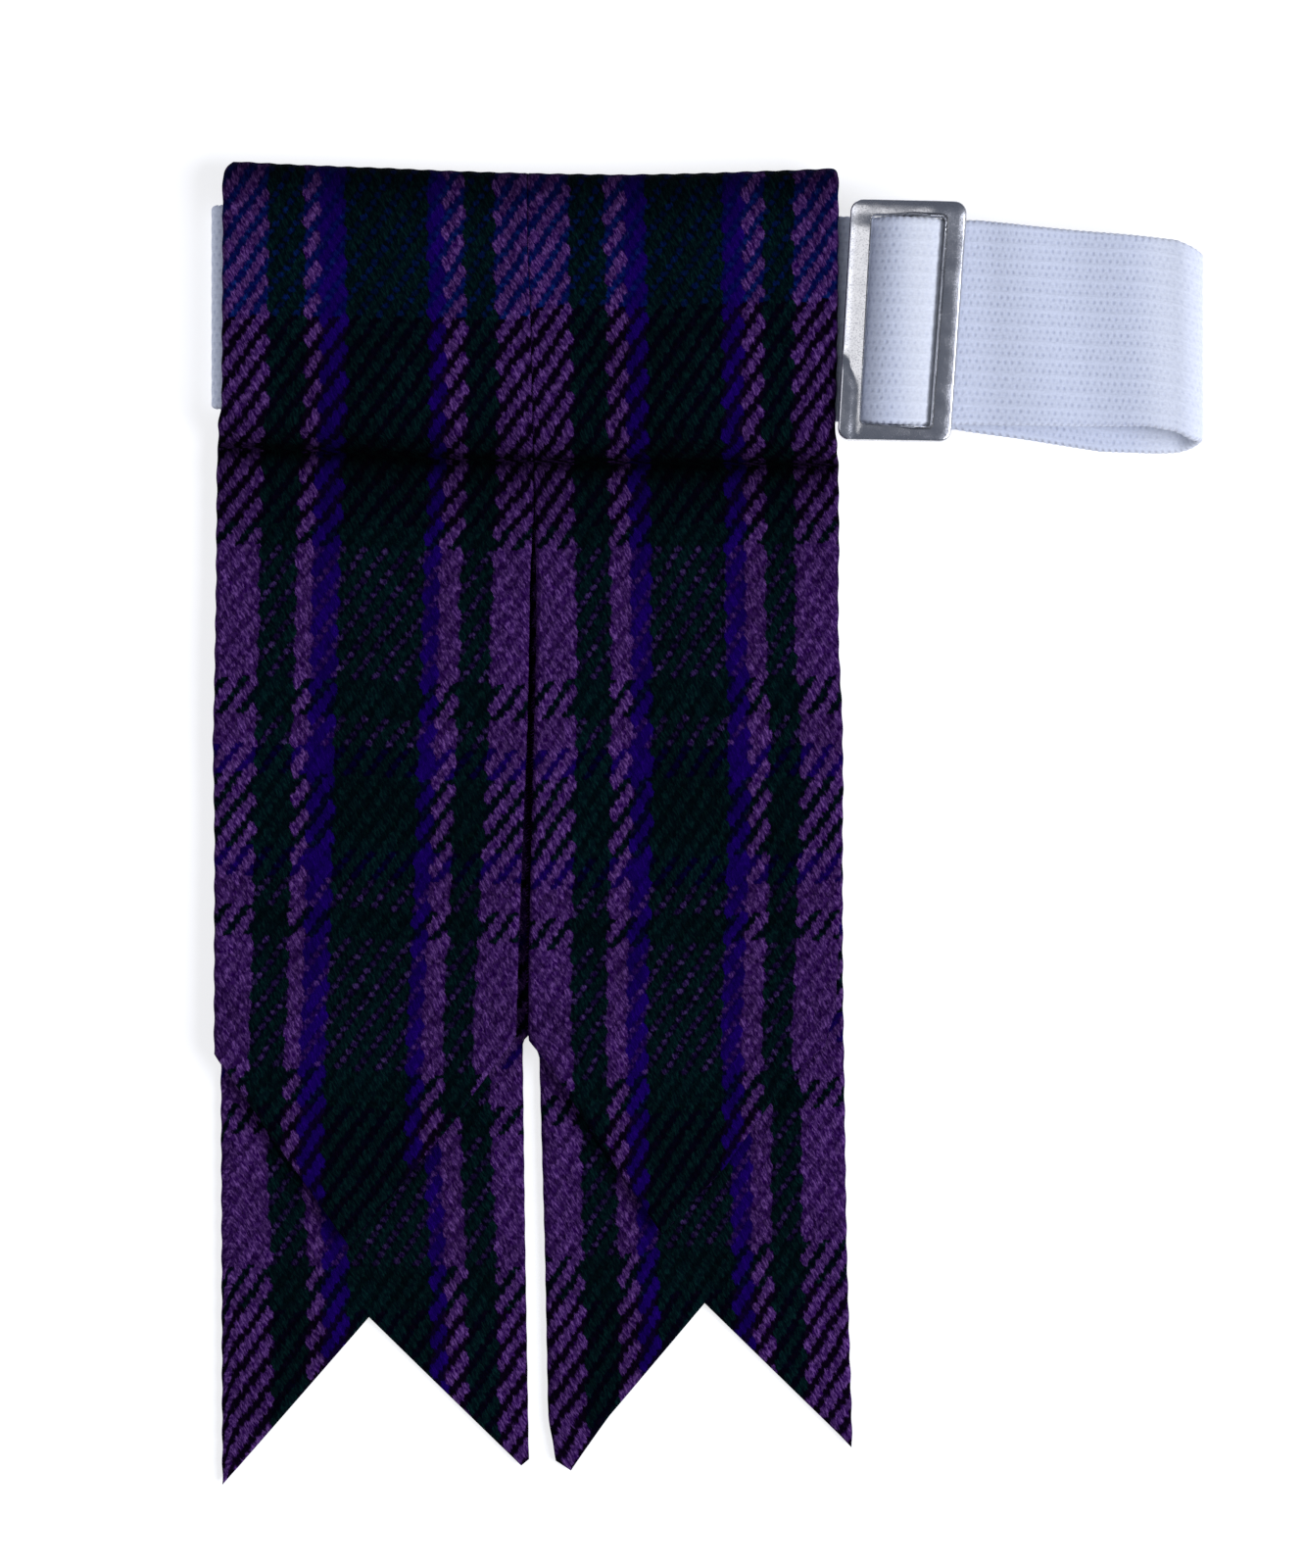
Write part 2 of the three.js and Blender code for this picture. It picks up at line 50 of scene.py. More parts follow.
# Heights of the middle of each lying ply over the surface
PLY_BACK = ELASTIC / 2
BACK_WALL_TAIL = CLOTH / 2
BACK_WALL_TOP = ELASTIC + GAP + CLOTH / 2
PLY_TUNNEL = ELASTIC + GAP + CLOTH + GAP + ELASTIC / 2
PLY_RETURN = PLY_TUNNEL + ELASTIC + GAP
FRONT_WALL_TAIL = CLOTH + GAP + CLOTH / 2
FRONT_WALL_LOW = PLY_TUNNEL + ELASTIC / 2 + GAP + CLOTH / 2
FRONT_WALL_HIGH = PLY_RETURN + ELASTIC / 2 + GAP + CLOTH / 2

# The seam, the lie of the front tails, and the tunnel's rise over the strap's free end
TUNNEL_RISE = 4.0
GROOVE_HALF_WIDTH = 0.75
GROOVE_DEPTH = 0.62
PUFF = 0.25
PUFF_LENGTH = 5.0
TAIL_LIFT = 0.7
TAIL_LIFT_LENGTH = 22
WAVE = 0.14
WAVE_LENGTH = 31
RETURN_START = -20
RETURN_FULL = -1.5

# Darkness and reach of the painted shade: by the seam (near, far), the top fold and the outer edge,
# and the strength of them all
SEAM_DARK = (0.65, 0.35)
SHADE_NEAR = 2.0
SHADE_BELOW = 8.5
SHADE_ABOVE = 5.0
FOLD_DARK = 0.76
FOLD_SHADE = 4.8
RIM_DARK = 0.35
RIM_SHADE = 0.3
PAINTED_SHADE_STRENGTH = 0.82

# Seam and top fold as rows of (x, y), the same lines for both strips
SEAM_LINE = [(-59.5, 46.0), (-46.6, 45.5), (-33.8, 44.6), (-20.8, 44.2), (16.1, 43.8)]
TOP_LINE = [
    (-58.8, 79.5), (-57.3, 80.5), (-41.5, 79.8), (-25.9, 79.2),
    (-10.4, 78.9), (2.9, 79.1), (15.7, 79.6),
]

# Side edges as rows of (y, front left, front right, back left, back right).
# Ends as rows of (share of the width from the left edge, y).
STRIPS = {
    "left_strip": {
        "edges": [
            (80, -58.6, -21.77, -58.6, -21.48),
            (70, -58.6, -21.72, -58.6, -21.48),
            (62, -58.65, -21.35, -58.6, -21.48),
            (51, -58.7, -21.12, -58.6, -21.48),
            (48.5, -59.2, -21.1, -58.7, -21.48),
            (44, -59.5, -21.02, -58.9, -21.48),
            (38, -59.55, -21.0, -58.9, -21.48),
            (34, -59.6, -21.25, -59.0, -21.48),
            (30, -59.6, -21.45, -59.0, -21.48),
            (17, -59.8, -21.65, -59.1, -21.48),
            (10, -60.0, -21.85, -59.1, -21.48),
            (-1, -59.8, -22.3, -59.1, -21.48),
            (-15, -59.8, -22.85, -59.0, -21.48),
            (-25.4, -59.8, -23.1, -59.2, -21.5),
            (-26.3, -59.8, -22.9, -59.2, -22.4),
            (-50, -59.8, -22.7, -59.1, -22.1),
            (-80, -59.8, -22.7, -59.0, -21.6),
        ],
        "front_end": [(0, -27.7), (0.443, -51.1), (0.78, -36.2), (0.96, -27.3), (1, -25.4)],
        "back_end": [(0, -80.35), (0.483, -59.9), (0.975, -78.0), (1, -77.2)],
    },
    "right_strip": {
        "edges": [
            (80, -21.73, 15.9, -21.52, 15.55),
            (70, -21.68, 15.85, -21.52, 15.55),
            (62, -21.31, 15.8, -21.52, 15.55),
            (52, -21.1, 15.6, -21.52, 15.55),
            (48.5, -21.06, 15.45, -21.52, 15.55),
            (44, -20.98, 16.0, -21.52, 15.6),
            (38, -20.9, 16.05, -21.52, 15.7),
            (34, -20.8, 16.1, -21.52, 15.7),
            (30, -20.7, 16.0, -21.52, 15.7),
            (23, -20.7, 16.0, -21.52, 15.8),
            (13, -20.95, 16.5, -21.52, 16.2),
            (4, -21.15, 16.6, -21.52, 16.6),
            (-15, -21.6, 16.0, -21.52, 16.6),
            (-25.6, -21.65, 15.4, -21.5, 16.7),
            (-28, -21.3, 15.4, -20.4, 16.75),
            (-52, -21.3, 15.4, -19.7, 17.1),
            (-72, -21.3, 15.4, -19.3, 17.7),
            (-80, -21.3, 15.4, -17.9, 17.8),
        ],
        "front_end": [
            (0, -26.1), (0.432, -49.6), (0.64, -41.5), (0.85, -30.6), (0.97, -26.8), (1, -22.4),
        ],
        "back_end": [(0, -77.4), (0.045, -78.6), (0.525, -58.2), (1, -75.8)],
    },
}

# The fine grid of a strip: turned edges, and rows along each stretch
EDGE_RADIUS = 0.75
EDGE_STEPS = 5
END_SLANT = 0.6
COLUMN_PITCH = 0.5
ROW_PITCH = 0.62
FINE_PITCH = ROW_PITCH / 2
GROOVE_PITCH = FINE_PITCH / 1.5
FOLD_ROWS = 14

# The strips' sewn join, the small waves of their edges and the cloth's soft lumps
JOIN_RADIUS = 0.3
JOIN_X = -21.5
JOIN_FRONT_START = 37
JOIN_BACK_START = -27
JOIN_BLEND = 6
JOIN_CLOSE = 0.1
JOIN_SIDE_WAVE = 0.4
EDGE_WAVE = 0.06
EDGE_WAVE_REACH = 3
LUMP = 0.09
LUMP_SIZE = 9.0
LUMP_SEEDS = {"left_strip": 3.1, "right_strip": 7.7}

# Weave of the tartan: thread pitches, the twill's repeat, and its slanting ribs
END_PITCH = 0.62
PICK_PITCH = 0.89
TWILL = 4
RIB_HEIGHT = 0.045
RIB_PHASE = 1.0
RIB_HALF = 1.5
RIB_UNEVEN = 0.3
RIB_RAGGED = 1.6
TOOTH = 0.62
LEAN = 0.45
TWIST = math.radians(27)

# The weft's dots between the ribs: place, turn, half sizes, and their tint over green ends
DOT_PHASE = 1.5
DOT_TURN = math.radians(20)
DOT_LENGTH = 0.5
DOT_WIDTH = 0.41
DOT_RAGGED = 1.4
DOT_HEIGHT = 0.8
DOT_TINT = (0.52, 0.68, 0.62, 1)

# How much violet ends cover of the weft, and how much violet weft fades over green
PACKED = 0.15
VIOLET_FADE = 0.6

# Noise as (a fibre's width, its length, seed), and how far threads wander (slowly, by fibres)
BLOBS = (0.5, 1.0, 1.0)
HAIRS = (0.22, 0.75, 3.0)
RAGGED = (0.25, 0.6, 12.0)
WANDER = (0.3, 0.6, 6.0)
END_WANDER = (0.9, 0.85)
PICK_WANDER = (1.2, 0.9)

# Overcast stitches that join the backs
STITCH_FROM = -24.5
STITCH_TO = 43.5
STITCH_PITCH = 0.42
STITCH_REACH = 0.62
STITCH_UNEVEN = 0.15
STITCH_CYCLE = 2.4
STITCH_SLANT = 0.35
STITCH_SINK = 0.18
STITCH_RADIUS = 0.17
STITCH_TAPER = 0.8
STITCH_POINTS = 7
STITCH_SIDES = 6

# Yarn colours, linear, as (in the hollows, on the lit fibres)
YARNS = {
    "purple": ((0.0150, 0.0002, 0.0470), (0.1300, 0.0540, 0.2050)),
    "violet": ((0.0050, 0.0001, 0.0600), (0.0120, 0.0006, 0.1080)),
    "green": ((0.0001, 0.0022, 0.0046), (0.0016, 0.0140, 0.0130)),
    "black": ((0.0020, 0.0003, 0.0040), (0.0060, 0.0014, 0.0125)),
    "navy": ((0.0014, 0.0050, 0.0560), (0.0026, 0.0205, 0.1250)),
}

# Stripes across each strip, from its left edge, as rows of (ends, yarn)
WARP = {
    "left_strip": [
        (9, "purple"), (7, "green"), (3, "purple"), (5, "violet"), (16, "green"),
        (3, "violet"), (4, "purple"), (6, "green"), (11, "purple"),
    ],
    "right_strip": [
        (8, "purple"), (7, "green"), (4, "purple"), (4, "violet"), (15, "green"),
        (4, "violet"), (4, "purple"), (6, "green"), (12, "purple"),
    ],
}

# How far the stripes lean out to the right, as rows of (y, ends on the front, on the back)
STRIPE_SHIFT = {
    "left_strip": [
        (60, 0, 0), (42, -0.2, 0), (35, -0.6, 0), (20, -0.8, 0), (0, -1.1, 0), (-14, -1.4, 0),
        (-22, -1.8, 0), (-30, -2.3, 0), (-37, -2.6, 0), (-44, -2.6, 0.2), (-51, -2.6, 0.8),
    ],
    "right_strip": [(30, 0, 0), (0, 0.4, 0), (-30, 0.4, 0), (-50, 0.4, -0.3)],
}

# How many picks the bands are off, as rows of (height over the seam, left edge, right edge)
WEFT_SHIFT = {
    "left_strip": {
        "front": [(35, 1.6, 3.2), (0.15, 1.6, 3.2), (-0.15, -1.2, -0.2), (-75, -1.5, -0.8)],
        "back": [(35, 1.6, 3.2), (-65, 0.9, 0)],
    },
    "right_strip": {
        "front": [
            (35, 4.8, 7.0), (0.15, 4.8, 7.0), (-0.15, 0, 1.2), (-27, 0, 1.3), (-39, -0.4, 0.5),
            (-49, -1.5, 0), (-74, -1.8, 1.0),
        ],
        "back": [(35, 4.8, 7.0), (-65, -1.5, -0.5)],
    },
}

# Bands along a strip as rows of (picks, yarn): from the seam down the front, and from the seam
# up over the fold and down the back
WEFT_START = -10.4
WEFT_DOWN = [
    (2, "green"), (18, "purple"), (5, "green"), (4, "purple"), (4, "violet"), (10, "green"),
    (4, "violet"), (4, "purple"), (5, "green"), (18, "purple"), (4, "green"), (34, "black"),
]
WEFT_UP = [
    (27, "black"), (69, "navy"), (28, "black"), (3, "green"), (18, "purple"), (5, "green"),
    (4, "purple"), (4, "violet"), (11, "green"), (4, "violet"), (4, "purple"), (5, "green"),
    (18, "purple"), (5, "green"), (40, "black"),
]

# The garter's middle line as rows of (x, z, half thickness), from the end round the bar
SEWN_RUN = [
    (19.4, 5.2, 0.3), (20.4, 5.65, 0.3), (21.9, 6.55, 0.3), (23.75, 6.68, 0.3), (25.2, 6.5, 0.3),
    (25.85, 5.75, 0.32), (25.2, 4.95, 0.35), (23.75, 4.78, 0.35), (21.9, 4.72, 0.35),
    (20.1, 4.4, 0.4), (17.5, 3.92, 0.48), (13.0, 3.6, 0.5),
]
FRONT_RUN = [
    (55.5, 6.25), (44.0, 6.05), (33.5, 5.7), (30.2, 5.65), (28.6, 5.72), (27.75, 6.15),
    (27.4, 6.8), (27.15, 7.4), (26.65, 7.85), (25.8, 8.14), (24.6, 8.31), (23.3, 8.33),
    (22.1, 8.08), (21.1, 7.6), (20.4, 7.05), (19.95, 6.5), (19.7, 6.05), (19.0, 5.72), (17.0, 5.3),
    (15.2, 4.92), (11.0, 4.9),
]
LEFT_FOLD_X = -60.2
RIGHT_FOLD_X = 60.2
RETURN_END = -0.5
STRAP_WIDTH = 25
STRAP_ROW_PITCH = 0.405
STRAP_COLUMNS = 50
CURVE_STEPS = 8
FOLD_POINTS = 25
SELVEDGE_RADIUS = 0.5
SELVEDGE_STEPS = 3
SELVEDGE_TEETH = 0.05
END_RADIUS = 0.4
FOLD_PINCH = 0.5
PINCH_FROM = 56
PINCH_EASE = 4

# Slow ripples of the front run, which begin and end at (x, softness)
RIPPLE = 0.26
RIPPLE_LENGTH = 14.0
RIPPLE_AT = 42.0
RIPPLE_SLANT = 0.12
RIPPLE_BEGIN = (31, 5)
RIPPLE_END = (58, 4)
RIPPLE_ABOVE = 5.2

# The elastic's pattern across: two rows of pits and a cord
CORD_PITCH = 1.95
CORD_AT = 1.79
CORD_HEIGHT = 0.03
PIT_ROWS = (0.39, 1.23)
PIT_PITCH = 0.81
PIT_WIDTH = 0.19
PIT_LENGTH = 0.23

# Its colours, shade painted in pits and beads, and where a painted highlight whitens it: at the right
# fold and in the slot
ELASTIC_WHITE = (0.68, 0.72, 0.825, 1)
HIGHLIGHT_WHITE = (0.84, 0.86, 0.88, 1)
PIT_SHADE_BLUE = (0.36, 0.40, 0.55, 1)
SELVEDGE_SHADE_GREY = (0.22, 0.22, 0.28, 1)
PIT_SHADE = 0.52
FOLD_FADE = (50.5, 56.0)
FOLD_WHITE = 0.4
SLOT_FADE_IN = (21.5, 26.0)
SLOT_FADE_OUT = (28.5, 29.5)
SLOT_HEIGHTS = (3.0, 4.0)
SLOT_WHITE = 0.7

# The strap's middle line and half width as rows of (x, y, half), for the front and back runs
FRONT_COURSE = [
    (-60.3, 63.0, 12.3), (18.0, 61.2, 12.4), (19.5, 61.0, 12.5), (28.0, 60.65, 12.5),
    (32.0, 60.86, 12.35), (50.0, 59.85, 11.6), (53.0, 59.7, 11.45), (56.6, 59.17, 11.6),
    (58.8, 58.27, 11.7), (60.2, 57.9, 11.5),
]
BACK_COURSE = [
    (-60.3, 63.0, 12.3), (18.0, 61.5, 12.35), (30.0, 60.8, 12.4), (48.0, 58.0, 12.45),
    (55.0, 57.75, 12.45), (60.0, 57.9, 12.4),
]

# The slider: corners of its frame and its slot, as (x, y) from the bottom right one round
SLIDER_X = 23.6
SLIDER_Y = 60.85
SLIDER_TURN = math.radians(-4)
TURN_REACH = 16
FRAME_CORNERS = [(29.36, 46.2), (31.4, 75.2), (17.38, 75.56), (15.68, 46.48)]
SLOT_CORNERS = [(26.77, 47.95), (28.68, 73.29), (19.85, 73.58), (18.43, 48.44)]
SLIDER_BOTTOM = 6.6
SLIDER_THICK = 2.0
CORNER_RADIUS = 1.5
SLOT_RADIUS = 0.6
CORNER_STEPS = 12
SIDE_STEPS = 40

# Its section: the base, the outer edge as (step inwards, drop), the crown and the slot's edge,
# with pairs for the left and right sides
BASE_STEP = 0.12
BASE_HEIGHT = 0.15
EDGE_PROFILE = [
    (0, 0.5), (0.01, 0.38), (0.03, 0.28), (0.08, 0.2), (0.16, 0.13), (0.26, 0.07), (0.4, 0.02), (0.55, 0),
]
EDGE_SHARES = (0.4, 0.64)
EDGE_EASE = 6
CROWN = 0.2
CROWN_AT = (0.35, 0.39, 0.43, 0.5, 0.6, 0.7, 0.84, 0.94, 0.98)
INNER_ROUND = (0.2, 0.45)
INNER_EASE = 3
INNER_STEPS = 7

# The left bar leans outwards above its foot, which turns up. The top bar bends
LEFT_LEAN = 0.11
LEAN_EDGE = 4.3
FOOT_Y = 50.6
FOOT_SLOPE = 1.7
FOOT_SOFT = 2.0
FOOT_RISE = 0.06
FOOT_STRIP = 1.5
FOOT_STRIP_SOFT = 1.4
TOP_BEND = 0.025
TOP_BEND_FROM = 0.5
TOP_BAR_Y = 10.3
TOP_BAR_SLANT = 0.07
TOP_BAR_EASE = 2.6

# The whole frame bows, and has shallow dents, and knocks as (x, y, height, spread)
BOW = 0.0015
DENT = 0.05
DENT_SIZE = 5.5
DENT_SEED = 4.4
KNOCKS = [(27.6, 74.3, 0.24, 1.5), (25.2, 46.4, 0.05, 1.3), (30.2, 66.0, 0.06, 2.2)]

# The recessed centre bar with its two legs, which reach up into the frame
BAR = {
    "width": 2.0, "height": 1.0, "bottom": 5.25, "length": 27.6, "leg": 0.95, "into_frame": 0.6,
    "bend": 0.45, "bend_from": 0.3, "bend_steps": 5, "round": 0.3, "round_steps": 4,
}

# The slider's nickel: where it is clean, in its clouds and in its grain
NICKEL = (0.74, 0.74, 0.75, 1)
NICKEL_CLOUD = (0.56, 0.56, 0.58, 1)
NICKEL_GRAIN = (0.42, 0.42, 0.45, 1)

# The photograph's height in pixels and its scale, and the camera over it
PHOTO_H = 1600
PIXELS_PER_MM = 8.4
CENTRE_X = -6.7
CENTRE_Y = 5.05
CAMERA_HEIGHT = 600
FOCUS_HEIGHT = 2.5
SENSOR = 36
CLIP_START = 0.01

# The light table, the room, and lamps in metres: (name, at, aimed at, size, watts, colour)
TABLE_GLOW = 0.72
TABLE_REACH = 4000
TABLE_TOP = -0.06
ROOM_COLOUR = (0.84, 0.94, 1.22, 1)
ROOM_STRENGTH = 0.14
COOL = (0.94, 0.97, 1.09)
LAMPS = [
    ("window", (0.74, -0.20, 0.74), (0, 0.03, 0), (0.6, 0.6), 10.4, COOL),
    ("left_card", (-0.45, 0.20, 1.15), (0.02, 0.06, 0), (0.64, 0.8), 1.5, (1.0, 0.99, 1.0)),
    ("low_card", (-1.0, 0.15, 0.45), (0, 0.05, 0), (0.9, 1.5), 3.0, COOL),
]

# Points closer than this are one: of a mesh, in metres, and of a path
WELD = 1e-7
SAME_POINT = 1e-6


# Small helpers

def smooth(t):
    c = np.clip(t, 0, 1)
    return c * c * (3 - 2 * c)


def bell(t):
    return np.exp(-t ** 2)


def line(table, at, column=1):
    """Values on straight lines between a table's rows, by its first column."""
    rows = sorted(table)
    return np.interp(at, [r[0] for r in rows], [r[column] for r in rows])


def soft_noise(x, y, scale, seed):
    """Slow waves from -1 to 1 over arrays of places."""
    flat = [noise.noise((a / scale, b / scale, seed)) for a, b in zip(np.ravel(x), np.ravel(y))]
    return np.array(flat).reshape(np.shape(x))


def edge_steps(count):
    """Shares of a turned edge's radius, from the outside in, closest together there."""
    return 1 - np.cos(np.linspace(0, np.pi / 2, count + 1)[:-1])


def round_share(distance, radius):
    """Share of the full thickness at a distance from a turned edge."""
    away = 1 - np.clip(distance / radius, 0, 1)
    return np.sqrt(1 - away ** 2)


def path_normals(across, up):
    """Unit normals of the paths down the rows, in the same two directions."""
    run, climb = np.gradient(across, axis=0), np.gradient(up, axis=0)
    size = np.maximum(np.hypot(run, climb), SAME_POINT)
    return -climb / size, run / size


def both_faces(upper, under):
    """Closed rings: the upper face's columns, and the under face's inner ones back again."""
    return np.concatenate([upper, under[:, -2:0:-1]], axis=1)


def tube_faces(rows, ring, closed=False):
    """Quads of a grid whose rows are rings. When it is closed, the last row meets the first."""
    faces = []
    for j in range(rows if closed else rows - 1):
        here, on = j * ring, (j + 1) % rows * ring
        for i in range(ring):
            k = (i + 1) % ring
            faces.append((here + i, here + k, on + k, on + i))
    return faces


def tube_caps(rows, ring):
    """The two end faces of such a grid."""
    return [tuple(range(ring))[::-1], tuple(range((rows - 1) * ring, rows * ring))]


def new_object(name, data):
    made = bpy.data.objects.new(name, data)
    bpy.context.scene.collection.objects.link(made)
    return made


def mesh_object(name, points, faces, material):
    """A smooth shaded mesh in metres from points in millimetres."""
    mesh = bpy.data.meshes.new(name)
    mesh.from_pydata((np.asarray(points) * MM).tolist(), [], faces)
    mesh.polygons.foreach_set("use_smooth", np.ones(len(mesh.polygons), bool))
    mesh.materials.append(material)
    return new_object(name, mesh)


def closed_piece(name, rings, material, faces=None, **layers):
    """A closed mesh from rows of rings, with values of its points as attributes. Points that
    coincide are merged, and the faces look outwards."""
    faces = faces or tube_faces(*rings.shape[:2])
    piece = mesh_object(name, rings.reshape(-1, 3), faces, material)
    for layer_name, values in layers.items():
        kind, field = ("FLOAT_VECTOR", "vector") if values.ndim == 3 else ("FLOAT", "value")
        layer = piece.data.attributes.new(layer_name, kind, "POINT")
        layer.data.foreach_set(field, np.asarray(values, np.float32).ravel())
    edit = bmesh.new()
    edit.from_mesh(piece.data)
    bmesh.ops.remove_doubles(edit, verts=edit.verts, dist=WELD)
    bmesh.ops.dissolve_degenerate(edit, edges=edit.edges, dist=WELD)
    bmesh.ops.recalc_face_normals(edit, faces=edit.faces)
    edit.to_mesh(piece.data)
    edit.free()
    return piece


# Tartan strips

def front_height(x, y, seam_y, end_y):
    """Height of the front wall's middle: the tail, the puff under the seam, and the tunnel."""
    share = smooth((x - RETURN_START) / (RETURN_FULL - RETURN_START))
    high = FRONT_WALL_LOW + (FRONT_WALL_HIGH - FRONT_WALL_LOW) * share
    rise = FRONT_WALL_TAIL + (high - FRONT_WALL_TAIL) * smooth((y - seam_y) / TUNNEL_RISE)
    below = seam_y - y
    puff = PUFF * np.sin(np.pi * np.clip(below / PUFF_LENGTH, 0, 1)) ** 2
    wave = WAVE * (1 - np.cos(2 * np.pi * below / WAVE_LENGTH + x / WAVE_LENGTH))
    lift = TAIL_LIFT * smooth(1 - (y - end_y) / TAIL_LIFT_LENGTH)
    tail = FRONT_WALL_TAIL + puff + wave * smooth(below / WAVE_LENGTH) + lift
    return np.where(y >= seam_y, rise, tail)


def back_height(y, seam_y):
    rise = smooth((y - seam_y) / TUNNEL_RISE)
    return BACK_WALL_TAIL + (BACK_WALL_TOP - BACK_WALL_TAIL) * rise


def stretch_rows(start, stop, pitch):
    """Rows from start up to stop, each one value a column, without the last."""
    count = max(2, int(round(float(np.max(stop - start)) / pitch)))
    steps = np.arange(count)[:, None] / count
    return start + (stop - start) * steps


def tail_rows(end_y, seam_y):
    """Rows from an end to the seam, close together over the turned end."""
    turn = EDGE_RADIUS / END_SLANT
    turned = end_y + turn * edge_steps(EDGE_STEPS)[:, None]
    return np.vstack([turned, stretch_rows(end_y + turn, seam_y - PUFF_LENGTH, ROW_PITCH)])


def strip_columns(strip):
    """Shares of the width: close together over the turned edges, and one at each corner."""
    width = strip["edges"][0][2] - strip["edges"][0][1]
    edge = EDGE_RADIUS * edge_steps(EDGE_STEPS) / width
    radius = EDGE_RADIUS / width
    count = int(round(width / COLUMN_PITCH))
    inner = np.linspace(radius, 1 - radius, count)
    corners = [s for s, _ in strip["front_end"] + strip["back_end"] if radius < s < 1 - radius]
    for corner in corners:
        inner[np.argmin(np.abs(inner - corner))] = corner
    return np.concatenate([edge, inner, 1 - edge[::-1]]), width


def strip_path(strip, shares, width):
    """The cloth's middle at every row and column: front end, up the front, over the fold, back end."""
    x = strip["edges"][0][1] + width * shares
    seam_y = line(SEAM_LINE, x)
    top_y = line(TOP_LINE, x)
    front_end = line(strip["front_end"], shares)
    back_end = line(strip["back_end"], shares)
    flat_y = seam_y + TUNNEL_RISE
    front_top = front_height(x, flat_y, seam_y, front_end)
    radius = (front_top - BACK_WALL_TOP) / 2
    fold_y = top_y - radius - CLOTH / 2

    climb = [
        stretch_rows(seam_y - PUFF_LENGTH, seam_y - GROOVE_HALF_WIDTH, FINE_PITCH),
        stretch_rows(seam_y - GROOVE_HALF_WIDTH, seam_y, GROOVE_PITCH),
        stretch_rows(seam_y, flat_y, FINE_PITCH),
        stretch_rows(flat_y, fold_y, ROW_PITCH),
    ]
    up = np.vstack([tail_rows(front_end, seam_y), *climb])
    front_z = front_height(x, up, seam_y, front_end)
    angles = np.linspace(np.pi / 2, -np.pi / 2, FOLD_ROWS)[:, None]
    fold = fold_y + radius * np.cos(angles)
    fold_z = (front_top + BACK_WALL_TOP) / 2 + radius * np.sin(angles)
    down = np.vstack([tail_rows(back_end, seam_y), *climb])[::-1]
    back_z = back_height(down, seam_y)

    y = np.vstack([up, fold, down])
    z = np.vstack([front_z, fold_z, back_z])
    front = np.concatenate([
        np.ones(len(up), bool), np.sin(angles[:, 0]) > 0, np.zeros(len(down), bool)])[:, None]
    end_y = np.where(front, front_end, back_end)
    steps = np.hypot(np.diff(y, axis=0), np.diff(z, axis=0))
    seam_row = int(np.argmin(np.abs(up[:, 0] - seam_y[0])))
    return y, z, front, end_y, seam_y, seam_row, steps


def between_edges(front, at, front_rows, back_rows, shares):
    """Values between a strip's two edges, from rows of (y, left, right) for its front and back."""
    left, right = (
        np.where(front, line(front_rows, at, k), line(back_rows, at, k)) for k in (1, 2))
    return left + (right - left) * shares


def rib_relief(ends, picks):
    """Height of the twill's slanting ribs, from -1 to 1."""
    return np.cos(2 * np.pi * (picks - ends - RIB_PHASE) / TWILL)


def crease_shade(x, y, along, side, outer_half):
    """How much painted shade the upper face gets, from 0 to 1, near the seam, the top and the outer edge.
    """
    reach = np.where(along < 0, SHADE_BELOW, SHADE_ABOVE)
    seam = SEAM_DARK[0] * bell(along / SHADE_NEAR) + SEAM_DARK[1] * bell(along / reach)
    fold = FOLD_DARK * bell((line(TOP_LINE, x) - y) / FOLD_SHADE)
    rim = RIM_DARK * bell(side / RIM_SHADE) * outer_half
    return np.maximum(seam, np.maximum(fold, rim))


def flat_size(steps, shares, width):
    """A finished strip's width, greatest length and flat area, in metres."""
    length = steps.sum(axis=0)
    area = float(((length[1:] + length[:-1]) / 2 * np.diff(shares)).sum()) * width * MM ** 2
    return width * MM, float(length.max()) * MM, area


